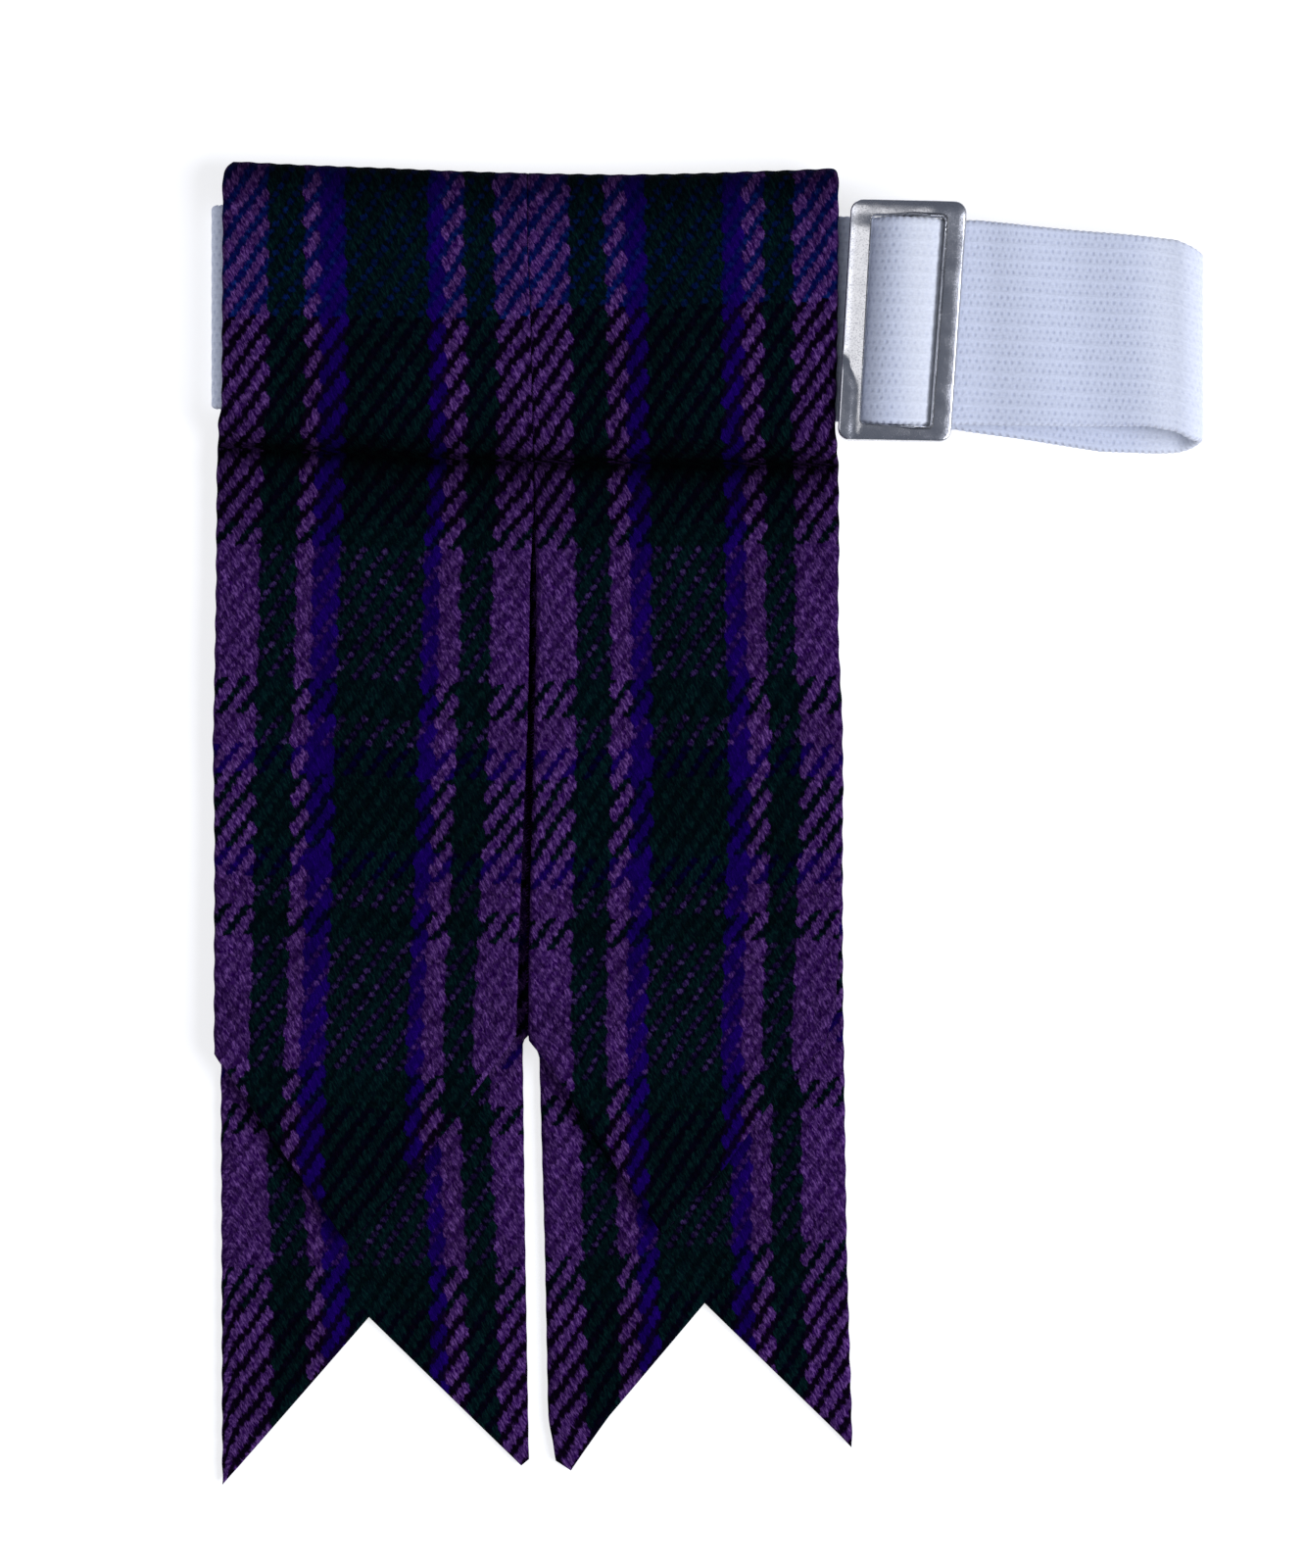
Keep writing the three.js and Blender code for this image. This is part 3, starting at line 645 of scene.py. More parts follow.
def make_strip(name, material):
    """The strip, and its flat size."""
    strip = STRIPS[name]
    shares, width = strip_columns(strip)
    y, z, front, end_y, seam_y, seam_row, steps = strip_path(strip, shares, width)
    normal_y, normal_z = path_normals(y, z)
    along = np.vstack([np.zeros((1, y.shape[1])), np.cumsum(steps, axis=0)])
    along = along - along[seam_row]

    # Thickness: turned edges, thinner ones at the join, and turned ends
    across = np.broadcast_to(shares * width, y.shape)
    side = np.minimum(across, width - across)
    from_end = np.where(y < seam_y, (y - end_y) * END_SLANT, EDGE_RADIUS)
    join_half = (across > width / 2) if name == "left_strip" else (across < width / 2)
    start = np.where(front, JOIN_FRONT_START, JOIN_BACK_START)
    joined = smooth((y - start) / JOIN_BLEND) * join_half
    radius = EDGE_RADIUS + (JOIN_RADIUS - EDGE_RADIUS) * joined
    half = CLOTH / 2 * round_share(side, radius) * round_share(from_end, EDGE_RADIUS)
    flat = smooth(side / EDGE_RADIUS / 2) * smooth(from_end / EDGE_RADIUS)

    # Place across, with a small wave along the edges, and what varies over the cloth
    back_rows = [(row[0], *row[3:]) for row in strip["edges"]]
    x = between_edges(front, y, strip["edges"], back_rows, shares)
    wave = EDGE_WAVE * np.cos(2 * np.pi * along / PICK_PITCH / TWILL) * (1 - joined)
    wave = wave * np.where(join_half, JOIN_SIDE_WAVE, 1) + JOIN_CLOSE * joined
    x = x + wave * (1 - smooth(side / EDGE_WAVE_REACH)) * np.where(across < width / 2, -1, 1)

    lumps = LUMP * soft_noise(x, along, LUMP_SIZE, LUMP_SEEDS[name])
    groove = bell(along / GROOVE_HALF_WIDTH) * GROOVE_DEPTH
    slips = WEFT_SHIFT[name]
    slip = between_edges(front, y - seam_y, slips["front"], slips["back"], shares)

    def face(sign):
        """Points and thread numbers of the upper (1) or the under face (-1)."""
        shift = line(STRIPE_SHIFT[name], y, 1 if sign > 0 else 2)
        ends = sign * (across / END_PITCH - shift)
        picks = along / PICK_PITCH - slip
        lift = half + flat * RIB_HEIGHT * rib_relief(ends, picks)
        if sign > 0:
            lift = lift + flat * np.where(front, lumps, 0) - groove * flat
        points = np.stack([x, y + sign * normal_y * lift, z + sign * normal_z * lift], -1)
        threads = np.stack([ends, picks, np.full(y.shape, float(sign))], -1)
        return points, threads

    points, threads = (both_faces(upper, under) for upper, under in zip(face(1), face(-1)))
    # Painted shade on the upper face by the seam, at the top fold and along the outer edge
    crease = crease_shade(x, y, along, side, ~join_half)
    crease = both_faces(crease, 0 * crease)
    cloth = closed_piece(name + "_cloth", points, material, thread=threads, crease=crease)
    return cloth, *flat_size(steps, shares, width)


def make_stitches(material):
    """The dark overcast stitches that join the two backs, deep between the front tails."""
    rows = np.arange(STITCH_FROM, STITCH_TO, STITCH_PITCH)[:, None, None]
    share = np.linspace(-1, 1, STITCH_POINTS)[:, None]
    angles = np.radians(np.arange(0, 360, 360 // STITCH_SIDES))
    uneven = np.sin(np.arange(len(rows)) * STITCH_CYCLE)[:, None, None]
    reach = STITCH_REACH * (1 + STITCH_UNEVEN * uneven)
    thin = STITCH_RADIUS * np.sqrt(1 - STITCH_TAPER * share ** 4)
    along_y = rows + STITCH_SLANT * share
    top = back_height(along_y, float(line(SEAM_LINE, JOIN_X))) + CLOTH / 2
    middle_z = top - STITCH_SINK * share ** 2
    points = np.stack(np.broadcast_arrays(
        JOIN_X + reach * share, along_y + thin * np.cos(angles), middle_z + thin * np.sin(angles)), -1)
    one = tube_faces(STITCH_POINTS, STITCH_SIDES) + tube_caps(STITCH_POINTS, STITCH_SIDES)
    size = STITCH_POINTS * STITCH_SIDES
    faces = [tuple(size * k + v for v in face) for k in range(len(rows)) for face in one]
    return closed_piece("join_stitches", points, material, faces)


# Garter elastic

def catmull_rom(rows):
    """Points on a smooth curve through rows of numbers."""
    rows = np.asarray(rows, float)
    before = np.vstack([rows[:1], rows, rows[-1:]])
    made = []
    for i in range(len(rows) - 1):
        a, b, c, d = before[i : i + 4]
        for t in np.arange(CURVE_STEPS) / CURVE_STEPS:
            made.append(0.5 * (2 * b + (c - a) * t + (2 * a - 5 * b + 4 * c - d) * t ** 2
                               + (3 * b - a - 3 * c + d) * t ** 3))
    made.append(rows[-1])
    return np.array(made)


def fold_arc(x, low, high, to_right):
    """Half a turn from one height to the other, up on the right side or down on the left."""
    angles = np.linspace(-np.pi / 2, np.pi / 2, FOLD_POINTS)
    if not to_right:
        angles = angles + np.pi
    radius = (high - low) / 2
    arc = np.stack([x + radius * np.cos(angles), low + radius + radius * np.sin(angles)], -1)
    return np.column_stack([arc, np.full(len(arc), ELASTIC / 2)])


def resample(rows, pitch):
    """The same polyline with even steps, and the distance along it."""
    rows = rows[np.concatenate([[True], np.hypot(*np.diff(rows[:, :2], axis=0).T) > SAME_POINT])]
    along = np.concatenate([[0], np.cumsum(np.hypot(*np.diff(rows[:, :2], axis=0).T))])
    even = np.linspace(0, along[-1], int(along[-1] / pitch) + 1)
    return np.column_stack([np.interp(even, along, rows[:, k]) for k in range(3)]), even


def strap_path():
    left_x = LEFT_FOLD_X + (PLY_TUNNEL - PLY_BACK) / 2 + ELASTIC / 2
    right_x = RIGHT_FOLD_X - (FRONT_RUN[0][1] - PLY_BACK) / 2 - ELASTIC / 2
    rows = np.vstack([
        catmull_rom(SEWN_RUN),
        fold_arc(left_x, PLY_BACK, PLY_TUNNEL, False),
        fold_arc(right_x, PLY_BACK, FRONT_RUN[0][1], True),
        catmull_rom([(x, z, ELASTIC / 2) for x, z in FRONT_RUN]),
        [(RETURN_END, PLY_RETURN, ELASTIC / 2)],
    ])
    return resample(rows, STRAP_ROW_PITCH)


def course(x, z, column):
    """The strap's middle line (column 1) or half width (2). The right fold narrows a little."""
    up = np.clip((z - PLY_BACK) / (FRONT_RUN[0][1] - PLY_BACK), 0, 1)
    pinch = FOLD_PINCH * np.sin(np.pi * up) * smooth((x - PINCH_FROM) / PINCH_EASE) * (column == 2)
    return line(BACK_COURSE, x, column) * (1 - up) + line(FRONT_COURSE, x, column) * up - pinch


def make_strap(material):
    path, along = strap_path()
    x, z, half = path.T
    normal_x, normal_z = path_normals(x, z)
    edge = SELVEDGE_RADIUS * edge_steps(SELVEDGE_STEPS) / STRAP_WIDTH
    inner = np.linspace(SELVEDGE_RADIUS, STRAP_WIDTH - SELVEDGE_RADIUS, STRAP_COLUMNS) / STRAP_WIDTH
    shares = np.concatenate([edge, inner, 1 - edge[::-1]])

    # Place across, with the selvedges' teeth and the front run's turn near the slider
    teeth = SELVEDGE_TEETH * np.cos(np.pi * np.arange(len(along)))
    across = (2 * shares - 1) * (course(x, z, 2) + teeth)[:, None]
    near = smooth((TURN_REACH - np.abs(x - SLIDER_X)) / (TURN_REACH / 2))
    lean = -math.tan(SLIDER_TURN) * across * near[:, None]

    # Thickness with round selvedges, ends and low cords, and the slow ripples
    side = np.minimum(shares, 1 - shares) * STRAP_WIDTH
    end_share = round_share(np.minimum(along, along[-1] - along), END_RADIUS)[:, None]
    cords = CORD_HEIGHT * np.cos(2 * np.pi * (across - CORD_AT) / CORD_PITCH)
    cords = cords * smooth(side / SELVEDGE_RADIUS)
    lift = half[:, None] * round_share(side, SELVEDGE_RADIUS) * end_share + cords * end_share
    begun = smooth((x - RIPPLE_BEGIN[0]) / RIPPLE_BEGIN[1])
    ended = smooth((RIPPLE_END[0] - x) / RIPPLE_END[1])
    run = x[:, None] + RIPPLE_SLANT * across - RIPPLE_AT
    ripple = -RIPPLE * np.sin(2 * np.pi * run / RIPPLE_LENGTH)
    ripple = ripple * (begun * ended * (z > RIPPLE_ABOVE))[:, None]

    middle = course(x, z, 1)[:, None] + across
    points = both_faces(*(
        np.stack([
            x[:, None] + lean + sign * normal_x[:, None] * lift,
            middle,
            z[:, None] + sign * normal_z[:, None] * lift + ripple,
        ], -1)
        for sign in (1, -1)
    ))
    threads = np.stack(np.broadcast_arrays(along[:, None], across, side), -1)
    return closed_piece("garter_strap", points, material, thread=both_faces(threads, threads))


# Slider buckle

def rounded_loop(corners, radius):
    """Points round a four-sided loop with round corners, the same number on every side."""
    corners = np.array(corners)
    ends = []
    for k in range(4):
        here, before, after = corners[k], corners[k - 1], corners[(k + 1) % 4]
        back = (before - here) / np.linalg.norm(before - here)
        on = (after - here) / np.linalg.norm(after - here)
        inset = radius / math.tan(math.acos(float(back @ on)) / 2)
        ends.append(np.array([here + back * inset, here, here + on * inset]))
    weight = math.sqrt(0.5)
    points = []
    for k in range(4):
        for t in np.linspace(0, 1, CORNER_STEPS):
            shares = np.array([(1 - t) ** 2, 2 * weight * t * (1 - t), t ** 2])
            points.append((shares @ ends[k]) / shares.sum())
        start, stop = ends[k][2], ends[(k + 1) % 4][0]
        for t in np.arange(1, SIDE_STEPS) / SIDE_STEPS:
            points.append(start + (stop - start) * t)
    return np.array(points)


def frame_section():
    """The frame's section from outside to inside, as (share across the bar, kind, height, value).
    The value is a step inwards, or the turn of the slot's round edge."""
    outer_top = SLIDER_THICK - CROWN
    section = [(0, "step", 0, BASE_STEP), (0, "step", BASE_HEIGHT, 0)]
    section += [(0, "edge", outer_top - drop, step) for step, drop in EDGE_PROFILE]
    section += [
        (share, "step", outer_top + CROWN * math.sin(math.pi / 2 * share), 0) for share in CROWN_AT]
    section += [(1, "round", SLIDER_THICK, turn) for turn in np.linspace(math.pi / 2, 0, INNER_STEPS)]
    section += [(1, "step", BASE_HEIGHT, 0), (1, "step", 0, BASE_STEP)]
    return section


def left_to_right(x, ease, pair):
    """A value that eases from the slider's left to its right side."""
    return pair[0] + (pair[1] - pair[0]) * smooth((x - SLIDER_X) / ease + 0.5)


def section_ring(outer, slot, row):
    """One ring of the frame: on the outline, on the slot's edge or between them."""
    share, kind, height, value = row
    reach = slot - outer
    inward = reach / np.hypot(*reach.T)[:, None]
    if kind == "edge":
        value = value * left_to_right(outer[:, 0], EDGE_EASE, EDGE_SHARES)
    if kind == "round":
        radius = left_to_right(slot[:, 0], INNER_EASE, INNER_ROUND)
        height = height - radius * (1 - math.sin(value))
        value = radius * (1 - math.cos(value))
    even = np.ones(len(outer))
    at = outer + reach * share + inward * (even * value * (1 - 2 * share))[:, None]
    return np.column_stack([at, even * height])


def bend(x, y):
    """The left bar leans outwards above its foot, and the whole frame bows and has dents."""
    own_x = x - SLIDER_X - (y - SLIDER_Y) * math.tan(-SLIDER_TURN)
    across = np.minimum(own_x + LEAN_EDGE, 0)
    above_foot = smooth((y - FOOT_Y + FOOT_SLOPE * across) / FOOT_SOFT)
    inner_strip = smooth((across + FOOT_STRIP) / FOOT_STRIP_SOFT)
    leaning = np.maximum(above_foot, inner_strip)
    lean = LEFT_LEAN * across * leaning + FOOT_RISE * across ** 2 * (1 - leaning)
    dents = DENT * soft_noise(x, y, DENT_SIZE, DENT_SEED)
    for knock_x, knock_y, height, spread in KNOCKS:
        dents += height * np.exp(-((x - knock_x) ** 2 + (y - knock_y) ** 2) / (2 * spread ** 2))
    bent = np.clip(TOP_BEND_FROM - own_x, 0, LEAN_EDGE + TOP_BEND_FROM) ** 2
    top = smooth((y - SLIDER_Y - TOP_BAR_Y + TOP_BAR_SLANT * own_x) / TOP_BAR_EASE)
    return lean - BOW * own_x ** 2 + dents - TOP_BEND / 2 * bent * top


def make_slider(material):
    outer = rounded_loop(FRAME_CORNERS, CORNER_RADIUS)
    slot = rounded_loop(SLOT_CORNERS, SLOT_RADIUS)
    rings = np.array([section_ring(outer, slot, row) for row in frame_section()])
    rings[..., 2] += SLIDER_BOTTOM + bend(rings[..., 0], rings[..., 1])
    return closed_piece("slider_frame", rings, material, tube_faces(*rings.shape[:2], closed=True))


def make_bar(material):
    """The centre bar with its two legs, as one swept round-edged section."""
    half = BAR["length"] / 2 - BAR["leg"] / 2
    low = BAR["bottom"] + BAR["height"] / 2
    turn = BAR["bend"]
    route = [(-half, SLIDER_BOTTOM + BAR["into_frame"]), (-half, low + turn)]
    route += [(-half + turn * (1 - math.cos(a)), low + turn * (1 - math.sin(a)))
              for a in np.linspace(BAR["bend_from"], math.pi / 2, BAR["bend_steps"])]
    route += [(-y, z) for y, z in reversed(route)]
    route = np.array(route)
    d = np.gradient(route, axis=0)
    d /= np.hypot(*d.T)[:, None]
    r = BAR["round"]
    w, h = BAR["width"] / 2 - r, BAR["leg"] / 2 - r
    section = [
        (sx * w + r * math.cos(a), sy * h + r * math.sin(a))
        for sx, sy, start in [(1, -1, -90), (1, 1, 0), (-1, 1, 90), (-1, -1, 180)]
        for a in np.radians(np.linspace(start, start + 90, BAR["round_steps"]))
    ]
    x, out = np.array(section).T
    y = route[:, :1] - d[:, 1:] * out
    z = route[:, 1:] + d[:, :1] * out
    c, s = math.cos(SLIDER_TURN), math.sin(SLIDER_TURN)
    rings = np.stack([SLIDER_X + x * c - y * s, SLIDER_Y + x * s + y * c, z], -1)
    faces = tube_faces(*z.shape) + tube_caps(*z.shape)
    return closed_piece("slider_bar", rings, material, faces)


# Materials

class Value:
    """A node's output that takes part in sums."""

    def __init__(self, graph, socket):
        self.graph = graph
        self.socket = socket

    def __add__(self, other):
        return self.graph.math("ADD", self, other)

    def __sub__(self, other):
        return self.graph.math("SUBTRACT", self, other)

    def __rsub__(self, other):
        return self.graph.math("SUBTRACT", other, self)

    def __mul__(self, other):
        return self.graph.math("MULTIPLY", self, other)

    def __truediv__(self, other):
        return self.graph.math("DIVIDE", self, other)

    def __abs__(self):
        return self.graph.math("ABSOLUTE", self)

    def __floor__(self):
        return self.graph.math("FLOOR", self)


class Graph:
    """Short calls that add nodes and return their outputs."""

    def __init__(self, name):
        self.material = bpy.data.materials.new(name)
        self.material.use_nodes = True
        self.nodes = self.material.node_tree.nodes
        self.links = self.material.node_tree.links
        self.shader = self.nodes["Principled BSDF"]

    def put(self, socket, value):
        if isinstance(value, Value):
            self.links.new(value.socket, socket)
        else:
            socket.default_value = value

    def node(self, kind, inputs, output=0, **settings):
        """A new node's output, after its settings and its inputs as rows of (socket, value)."""
        node = self.nodes.new("ShaderNode" + kind)
        for name, value in settings.items():
            setattr(node, name, value)
        for name, value in inputs:
            self.put(node.inputs[name], value)
        return Value(self, node.outputs[output])

    def math(self, operation, *values, clamp=False):
        return self.node("Math", enumerate(values), operation=operation, use_clamp=clamp)

    def ease(self, value, low, high, to_low=0.0, to_high=1.0):
        inputs = enumerate((value, low, high, to_low, to_high))
        return self.node("MapRange", inputs, interpolation_type="SMOOTHSTEP")

    def ease_over(self, place, span, to_low=0.0, to_high=1.0):
        """The same over a span of places in millimetres."""
        return self.ease(place, span[0] * MM, span[1] * MM, to_low, to_high)

    def mix(self, factor, a, b, blend="MIX"):
        inputs = [("Factor", factor), (6, a), (7, b)]
        return self.node("Mix", inputs, 2, data_type="RGBA", blend_type=blend)

    def shade(self, colour, tone):
        """A colour made lighter or darker by a number."""
        return self.mix(1.0, colour, self.join(tone, tone, tone), "MULTIPLY")

    def attribute(self, name, output):
        return self.node("Attribute", (), output, attribute_name=name)

    def position(self):
        return self.node("TexCoord", (), "Object")

    def split(self, vector):
        x = self.node("SeparateXYZ", [(0, vector)])
        return [Value(self, output) for output in x.socket.node.outputs]

    def join(self, *values):
        return self.node("CombineXYZ", enumerate(values))

    def noise(self, vector, scale=1.0, detail=2.0):
        return self.node("TexNoise", [("Vector", vector), ("Scale", scale), ("Detail", detail)])

    def random(self, value):
        return self.node("TexWhiteNoise", [("W", value)], "Value", noise_dimensions="1D")

    def bump(self, height, distance, strength):
        inputs = [("Height", height), ("Distance", distance), ("Strength", strength)]
        return self.node("Bump", inputs)

    def bands(self, position, rows):
        """A colour that changes in steps along position: rows of (count, colour)."""
        total = sum(count for count, _ in rows)
        colour = self.node("ValToRGB", [(0, position / total)])
        ramp = colour.socket.node.color_ramp
        ramp.interpolation = "CONSTANT"
        ramp.elements.remove(ramp.elements[1])
        start = 0
        for k, (count, own) in enumerate(rows):
            stop = ramp.elements[0] if k == 0 else ramp.elements.new(start / total)
            stop.position = start / total
            stop.color = (*own, 1)
            start += count
        return colour

    def is_yarn(self, yarn, position, rows):
        """1 where the thread at a position is of this yarn, from rows of (count, yarn)."""
        return self.bands(position, [(count, (own == yarn,) * 3) for count, own in rows])

    def finish(self, **inputs):
        names = {"colour": "Base Color", "roughness": "Roughness", "metallic": "Metallic",
                 "normal": "Normal", "specular": "Specular IOR Level"}
        for key, value in inputs.items():
            self.put(self.shader.inputs[names[key]], value)
        return self.material


def turned_place(x, y, angle, width=1.0, length=1.0):
    """Places across and along an oval that is turned by an angle."""
    c, s = math.cos(angle), math.sin(angle)
    return x * (c / width) + y * (s / width), y * (c / length) - x * (s / length)


def fibre_noise(g, ends, picks, width, length, seed):
    """Noise in short streaks that lean with the yarn's twist, sized in millimetres."""
    u, v = turned_place(ends * END_PITCH, picks * PICK_PITCH, TWIST, width, length)
    return g.noise(g.join(u, v, seed))


def wander(g, ends, picks):
    """Threads wander a little, so that no rib is ruled straight."""
    slow_end = g.noise(g.join(ends, picks, 2.0), 0.16) - 0.5
    slow_pick = g.noise(g.join(picks, ends, 9.0), 0.2) - 0.5
    fine = fibre_noise(g, ends, picks, *WANDER) - 0.5
    return (ends + slow_end * END_WANDER[0] + fine * END_WANDER[1],
            picks + slow_pick * PICK_WANDER[0] + fine * PICK_WANDER[1])


def round_phase(g, value, phase):
    """From minus to plus half a repeat of the twill, nought at its phase."""
    return g.math("WRAP", value - (phase - TWILL / 2), TWILL, 0.0) - TWILL / 2


def warp_ribs(g, ends, picks, ragged):
    """Each rib climbs to the right. Its strands lean to the left, side by side, and end in teeth.
    How much the warp shows, a strand's number, the place off its middle, and its own chance."""
    climb = picks - ends
    rise = round_phase(g, climb, RIB_PHASE)
    strand = ends + rise * LEAN
    number = math.floor(strand)
    off_middle = abs((strand - number) * 2.0 - 1.0)
    rib = math.floor((climb - (RIB_PHASE - TWILL / 2)) * (1 / TWILL))
    chance = g.random(number * 0.91 + rib * 7.3)
    half = RIB_HALF - off_middle * TOOTH + (chance - 0.5) * RIB_UNEVEN
    shows = g.ease(half - abs(rise) + ragged * RIB_RAGGED, -0.35, 0.4)
    return shows, number, off_middle, chance


def weft_dots(g, ends, picks, ragged):
    """The weft's slanting dot over each end that dives: how much it shows, and its pick's number."""
    number = math.floor(picks)
    over = round_phase(g, ends - number, DOT_PHASE)
    end = math.floor(ends - over)
    u, v = turned_place(over * END_PITCH, (picks - number - 0.5) * PICK_PITCH, DOT_TURN)
    dot = 1.0 - (u * u * (1 / DOT_LENGTH ** 2) + v * v * (1 / DOT_WIDTH ** 2))
    chance = g.random(number * 3.7 + end * 0.91)
    shows = g.ease(dot + ragged * DOT_RAGGED, -0.3, 0.8)
    return shows * g.ease(chance, 0.0, 1.0, 0.5, 1.0), number


def tartan_material(name):
    g = Graph(name + "_tartan")
    ends, picks, face = g.split(g.attribute("thread", "Vector"))

    # Fibres: broad ones, fine twisted ones, and a ragged outline
    blobs = g.ease(fibre_noise(g, ends, picks, *BLOBS), 0.34, 0.66)
    hairs = g.ease(fibre_noise(g, ends, picks, *HAIRS), 0.42, 0.68)
    ragged = fibre_noise(g, ends, picks, *RAGGED) - 0.5
    ends, picks = wander(g, ends, picks)
    warp_shows, strand_number, off_middle, strand_chance = warp_ribs(g, ends, picks, ragged)
    dot_shows, pick_number = weft_dots(g, ends, picks, ragged)

    # Violet ends lie so close that little weft shows between them, and violet weft is faint on green
    warp, weft = WARP[name], WEFT_DOWN[::-1] + WEFT_UP
    down = sum(count for count, _ in WEFT_DOWN)
    beneath = (math.floor(ends) + 0.5) * face
    band = pick_number + 0.5 + (down - WEFT_START)
    packed = g.is_yarn("violet", beneath, warp) * PACKED
    over_green = g.is_yarn("green", beneath, warp)
    faint = g.is_yarn("violet", band, weft) * over_green * VIOLET_FADE
    warp_shows = g.math("MAXIMUM", warp_shows, packed)
    dot_shows = dot_shows * (1.0 - packed) * (1.0 - faint)
    fuzz = dot_shows * warp_shows

    # Stripes and bands in their shaded and lit colours. Between the ribs the darker yarn's colour is
    # taken, as painted shade
    centre = (strand_number + 0.5) * face
    pairs = []
    for k in (0, 1):
        stripes = [(count, YARNS[yarn][k]) for count, yarn in warp]
        warp_colour = g.bands(centre, stripes)
        weft_colour = g.bands(band, [(count, YARNS[yarn][k]) for count, yarn in weft])
        valley = g.mix(1.0, g.bands(beneath, stripes), weft_colour, "DARKEN")
        dot_colour = g.mix(over_green, weft_colour, DOT_TINT, "MULTIPLY")
        valley = g.mix(dot_shows, valley, dot_colour)
        both = g.mix(warp_shows, valley, warp_colour)
        pairs.append(g.mix(fuzz, both, dot_colour, "LIGHTEN"))

    # Every thread is a little lighter or darker, and every strand is lit along its back
    warp_tone = g.ease(strand_chance, 0.0, 1.0, 0.82, 1.15)
    weft_tone = g.ease(g.random(pick_number + 71.5), 0.0, 1.0, 0.8, 1.1)
    tone = warp_shows * warp_tone + (1.0 - warp_shows) * weft_tone
    back = g.ease(off_middle, 0.4, 1.0, 1.0, 0.0)
    height = g.math("MAXIMUM", warp_shows * (back * 0.5 + 0.5), dot_shows * DOT_HEIGHT)
    fibres = blobs * 0.25 + hairs * 0.75
    lit = g.math("MULTIPLY", fibres, g.ease(height, 0.3, 0.95, 0.35, 1.1), clamp=True)

    # Painted shade deep between the threads and by the seam, the top fold and the outer edge, and cloth
    # is never quite even
    hollow = g.ease(height + (blobs - 0.5) * 0.6, -0.1, 0.5, 0.7, 1.0)
    crease = 1.0 - g.attribute("crease", "Fac") * PAINTED_SHADE_STRENGTH
    patchy = g.ease(g.noise(g.join(ends * 0.05, picks * 0.07, 1.0)), 0.3, 0.7, 0.88, 1.12)
    colour = g.shade(g.mix(lit, *pairs), hollow * crease * (tone * patchy))
    normal = g.bump(height * 0.5 + (blobs * 0.3 + hairs * 0.4), 0.16 * MM, 0.8)
    return g.finish(colour=colour, roughness=0.95, specular=0.02, normal=normal)


def thread_material():
    g = Graph("sewing_thread")
    strands = g.noise(g.position(), 2500.0)
    hollow, lit = ((*colour, 1) for colour in YARNS["black"])
    normal = g.bump(strands, 0.05 * MM, 0.6)
    return g.finish(colour=g.mix(strands, hollow, lit), roughness=0.8, specular=0.05, normal=normal)


def elastic_pits(g, along, pair, place):
    """Two staggered rows of soft pits in every repeat across."""
    rows = []
    for k, row in enumerate(PIT_ROWS):
        step = along / PIT_PITCH + (g.random(pair) * 0.6 + 0.5 * k)
        cell = math.floor(step)
        dx = (step - cell - 0.5) * (PIT_PITCH / PIT_WIDTH)
        dy = (place - row) * (1 / PIT_LENGTH)
        pit = g.ease(g.math("SQRT", dx * dx + dy * dy), 0.0, 1.7, 1.0, 0.0)
        chance = g.random(cell * 3.7 + (pair * 57.0 + 11.0 * k))
        rows.append(pit * g.ease(chance, 0.0, 1.0, 0.55, 1.0))
    return g.math("MAXIMUM", *rows)


def painted_elastic_highlight(g):
    """How much painted highlight whitens the elastic, at the right fold and in the slider's slot."""
    x, _, z = g.split(g.position())
    in_slot = g.ease_over(x, SLOT_FADE_IN, 0.0, SLOT_WHITE) * g.ease_over(x, SLOT_FADE_OUT, 1.0, 0.0)
    in_slot = in_slot * g.ease_over(z, SLOT_HEIGHTS)
    return g.math("MAXIMUM", g.ease_over(x, FOLD_FADE) * FOLD_WHITE, in_slot)


def elastic_material():
    g = Graph("woven_elastic")
    along, across, side = g.split(g.attribute("thread", "Vector"))
    across = across + (g.noise(g.join(along, across, 0.0), 0.35) - 0.5) * 0.16
    along = along + (g.noise(g.join(across, along, 4.0), 0.35) - 0.5) * 0.3
    pair = math.floor(across / CORD_PITCH)
    place = across - pair * CORD_PITCH
    # Painted highlight at the right fold and in the slot whitens the elastic and fades its pits
    painted_highlight = painted_elastic_highlight(g)
    pit = elastic_pits(g, along, pair, place) * g.ease(painted_highlight, 0.0, 0.5, 1.0, 0.4)
    cord = g.ease(abs(place - CORD_AT), 0.1, 0.5, 1.0, 0.0)
    loops = g.noise(g.join(along * 3.2, across * 3.2), detail=3.0)
    threads = g.noise(g.join(along, across * 6.0, 7.0))

    tone = g.ease(loops, 0.25, 0.75, 0.94, 1.05) * g.ease(threads, 0.3, 0.7, 0.97, 1.03)
    # The raised cords are a little lighter, a faint painted highlight
    tone = tone * g.ease(cord, 0.0, 1.0, 0.99, 1.012)
    white = g.shade(g.mix(painted_highlight, ELASTIC_WHITE, HIGHLIGHT_WHITE), tone)
    # Painted shade in the pits, which are mixed towards a shaded blue
    colour = g.mix(pit * PIT_SHADE, white, PIT_SHADE_BLUE)

    # The weft's loops stand out as slanting beads along the selvedges, with painted shade between them
    bead = g.math("SINE", (along + side * 0.5) * (2 * math.pi / PIT_PITCH))
    shade = g.ease(bead, -0.9, 0.3, 0.3, 0.0) * g.ease(side, 0.15, 0.6, 1.0, 0.0)
    colour = g.mix(shade, colour, SELVEDGE_SHADE_GREY)
    normal = g.bump(cord * 0.3 + loops * 0.45 + pit * -0.8 - shade * 0.8, 0.1 * MM, 0.7)
    return g.finish(colour=colour, roughness=0.85, specular=0.1, normal=normal)


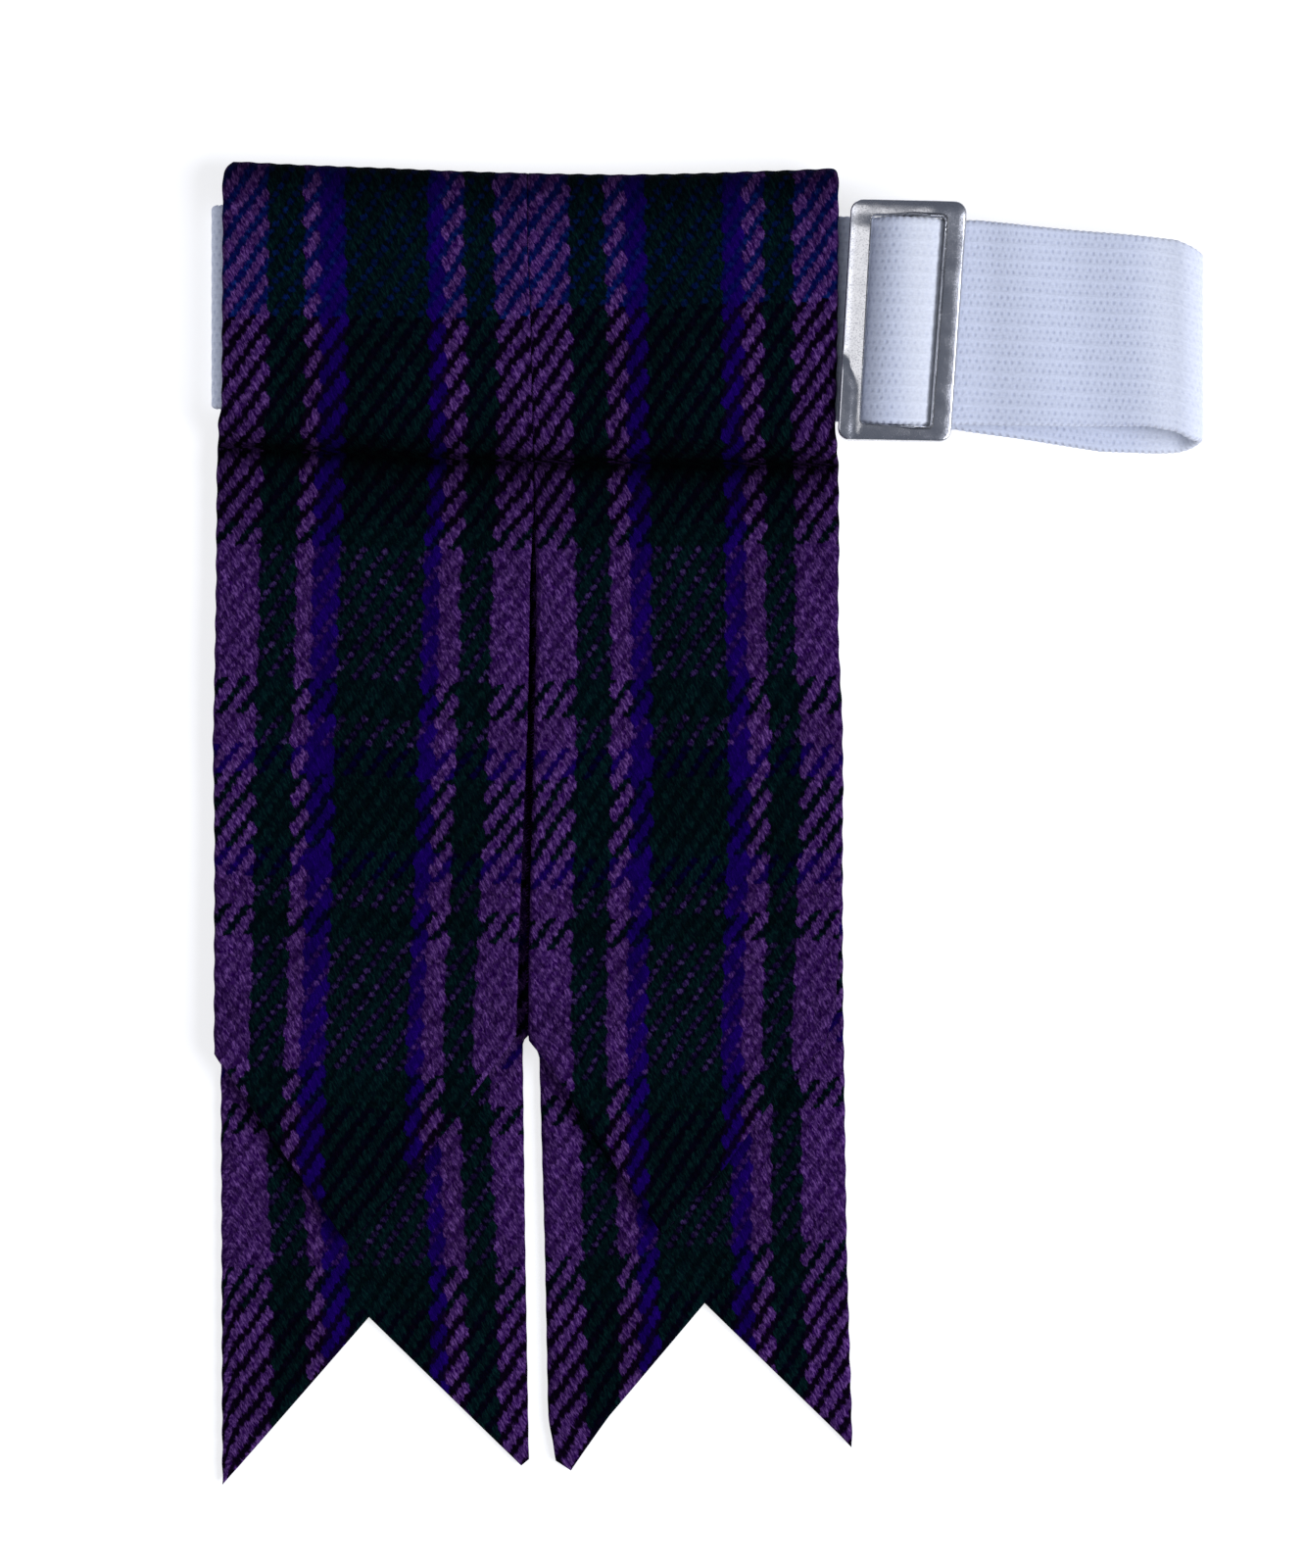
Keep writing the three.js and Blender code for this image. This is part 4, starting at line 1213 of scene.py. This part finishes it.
def metal_material():
    """Nickel with a faint brushed grain, dull clouds and fine dark specks."""
    g = Graph("polished_nickel")
    position = g.position()
    x, y, z = g.split(position)
    brushed = g.noise(g.join(x * 6000.0, y * 1500.0, z * 3000.0), detail=3.0)
    clouds = g.noise(position, 500.0, 4.0)
    grain = g.noise(position, 5200.0)
    colour = g.mix(g.ease(clouds, 0.35, 0.75, 0.0, 0.35), NICKEL, NICKEL_CLOUD)
    colour = g.mix(g.ease(grain, 0.48, 0.68, 0.0, 0.6), colour, NICKEL_GRAIN)
    roughness = g.ease(clouds, 0.3, 0.7, 0.15, 0.23) + g.ease(grain, 0.5, 0.68, 0.0, 0.085)
    normal = g.bump(brushed * 0.5 + grain * 0.4, 0.008 * MM, 0.9)
    return g.finish(colour=colour, roughness=roughness, metallic=1.0, normal=normal)


def floor_material():
    """A white table that is lit evenly from inside."""
    g = Graph("light_table")
    g.shader.inputs["Emission Color"].default_value = (1, 1, 1, 1)
    g.shader.inputs["Emission Strength"].default_value = TABLE_GLOW
    return g.finish(colour=(0.5, 0.5, 0.5, 1), roughness=0.9, specular=0.0)


# Floor, light and camera

def make_floor(material):
    corners = [(-1, -1), (1, -1), (1, 1), (-1, 1)]
    points = [(x * TABLE_REACH, y * TABLE_REACH, TABLE_TOP) for x, y in corners]
    floor = mesh_object("floor", points, [(0, 1, 2, 3)], material)


def make_light():
    world = bpy.data.worlds.new("soft_studio")
    world.use_nodes = True
    background = world.node_tree.nodes["Background"].inputs
    background["Color"].default_value = ROOM_COLOUR
    background["Strength"].default_value = ROOM_STRENGTH
    bpy.context.scene.world = world
    for name, at, aim, size, watts, colour in LAMPS:
        light = bpy.data.lights.new(name, "AREA")
        light.shape = "RECTANGLE"
        light.size, light.size_y = size
        light.energy = watts
        light.color = colour
        lamp = new_object(name, light)
        lamp.location = at
        lamp.rotation_mode = "QUATERNION"
        lamp.rotation_quaternion = (Vector(aim) - Vector(at)).to_track_quat("-Z", "Y")


def make_camera():
    camera = bpy.data.cameras.new("camera")
    camera.sensor_width = SENSOR
    camera.lens = SENSOR * CAMERA_HEIGHT / (PHOTO_H / PIXELS_PER_MM)
    camera.clip_start = CLIP_START
    holder = new_object("camera", camera)
    holder.location = (CENTRE_X * MM, CENTRE_Y * MM, (CAMERA_HEIGHT + FOCUS_HEIGHT) * MM)
    bpy.context.scene.camera = holder


make_camera()
make_light()
make_floor(floor_material())

for strip_name in STRIPS:
    cloth, flat_width, flat_length, flat_area = make_strip(strip_name, tartan_material(strip_name))
    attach(cloth, "root")
    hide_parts(strip_name)

stitches = make_stitches(thread_material())
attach(stitches, "root")

strap = make_strap(elastic_material())
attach(strap, "root")
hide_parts("garter_elastic")

nickel = metal_material()
slider = make_slider(nickel)
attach(slider, "root")
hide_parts("slider_buckle")
bar = make_bar(nickel)
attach(bar, "root")

bpy.context.scene.view_settings.view_transform = "Standard"
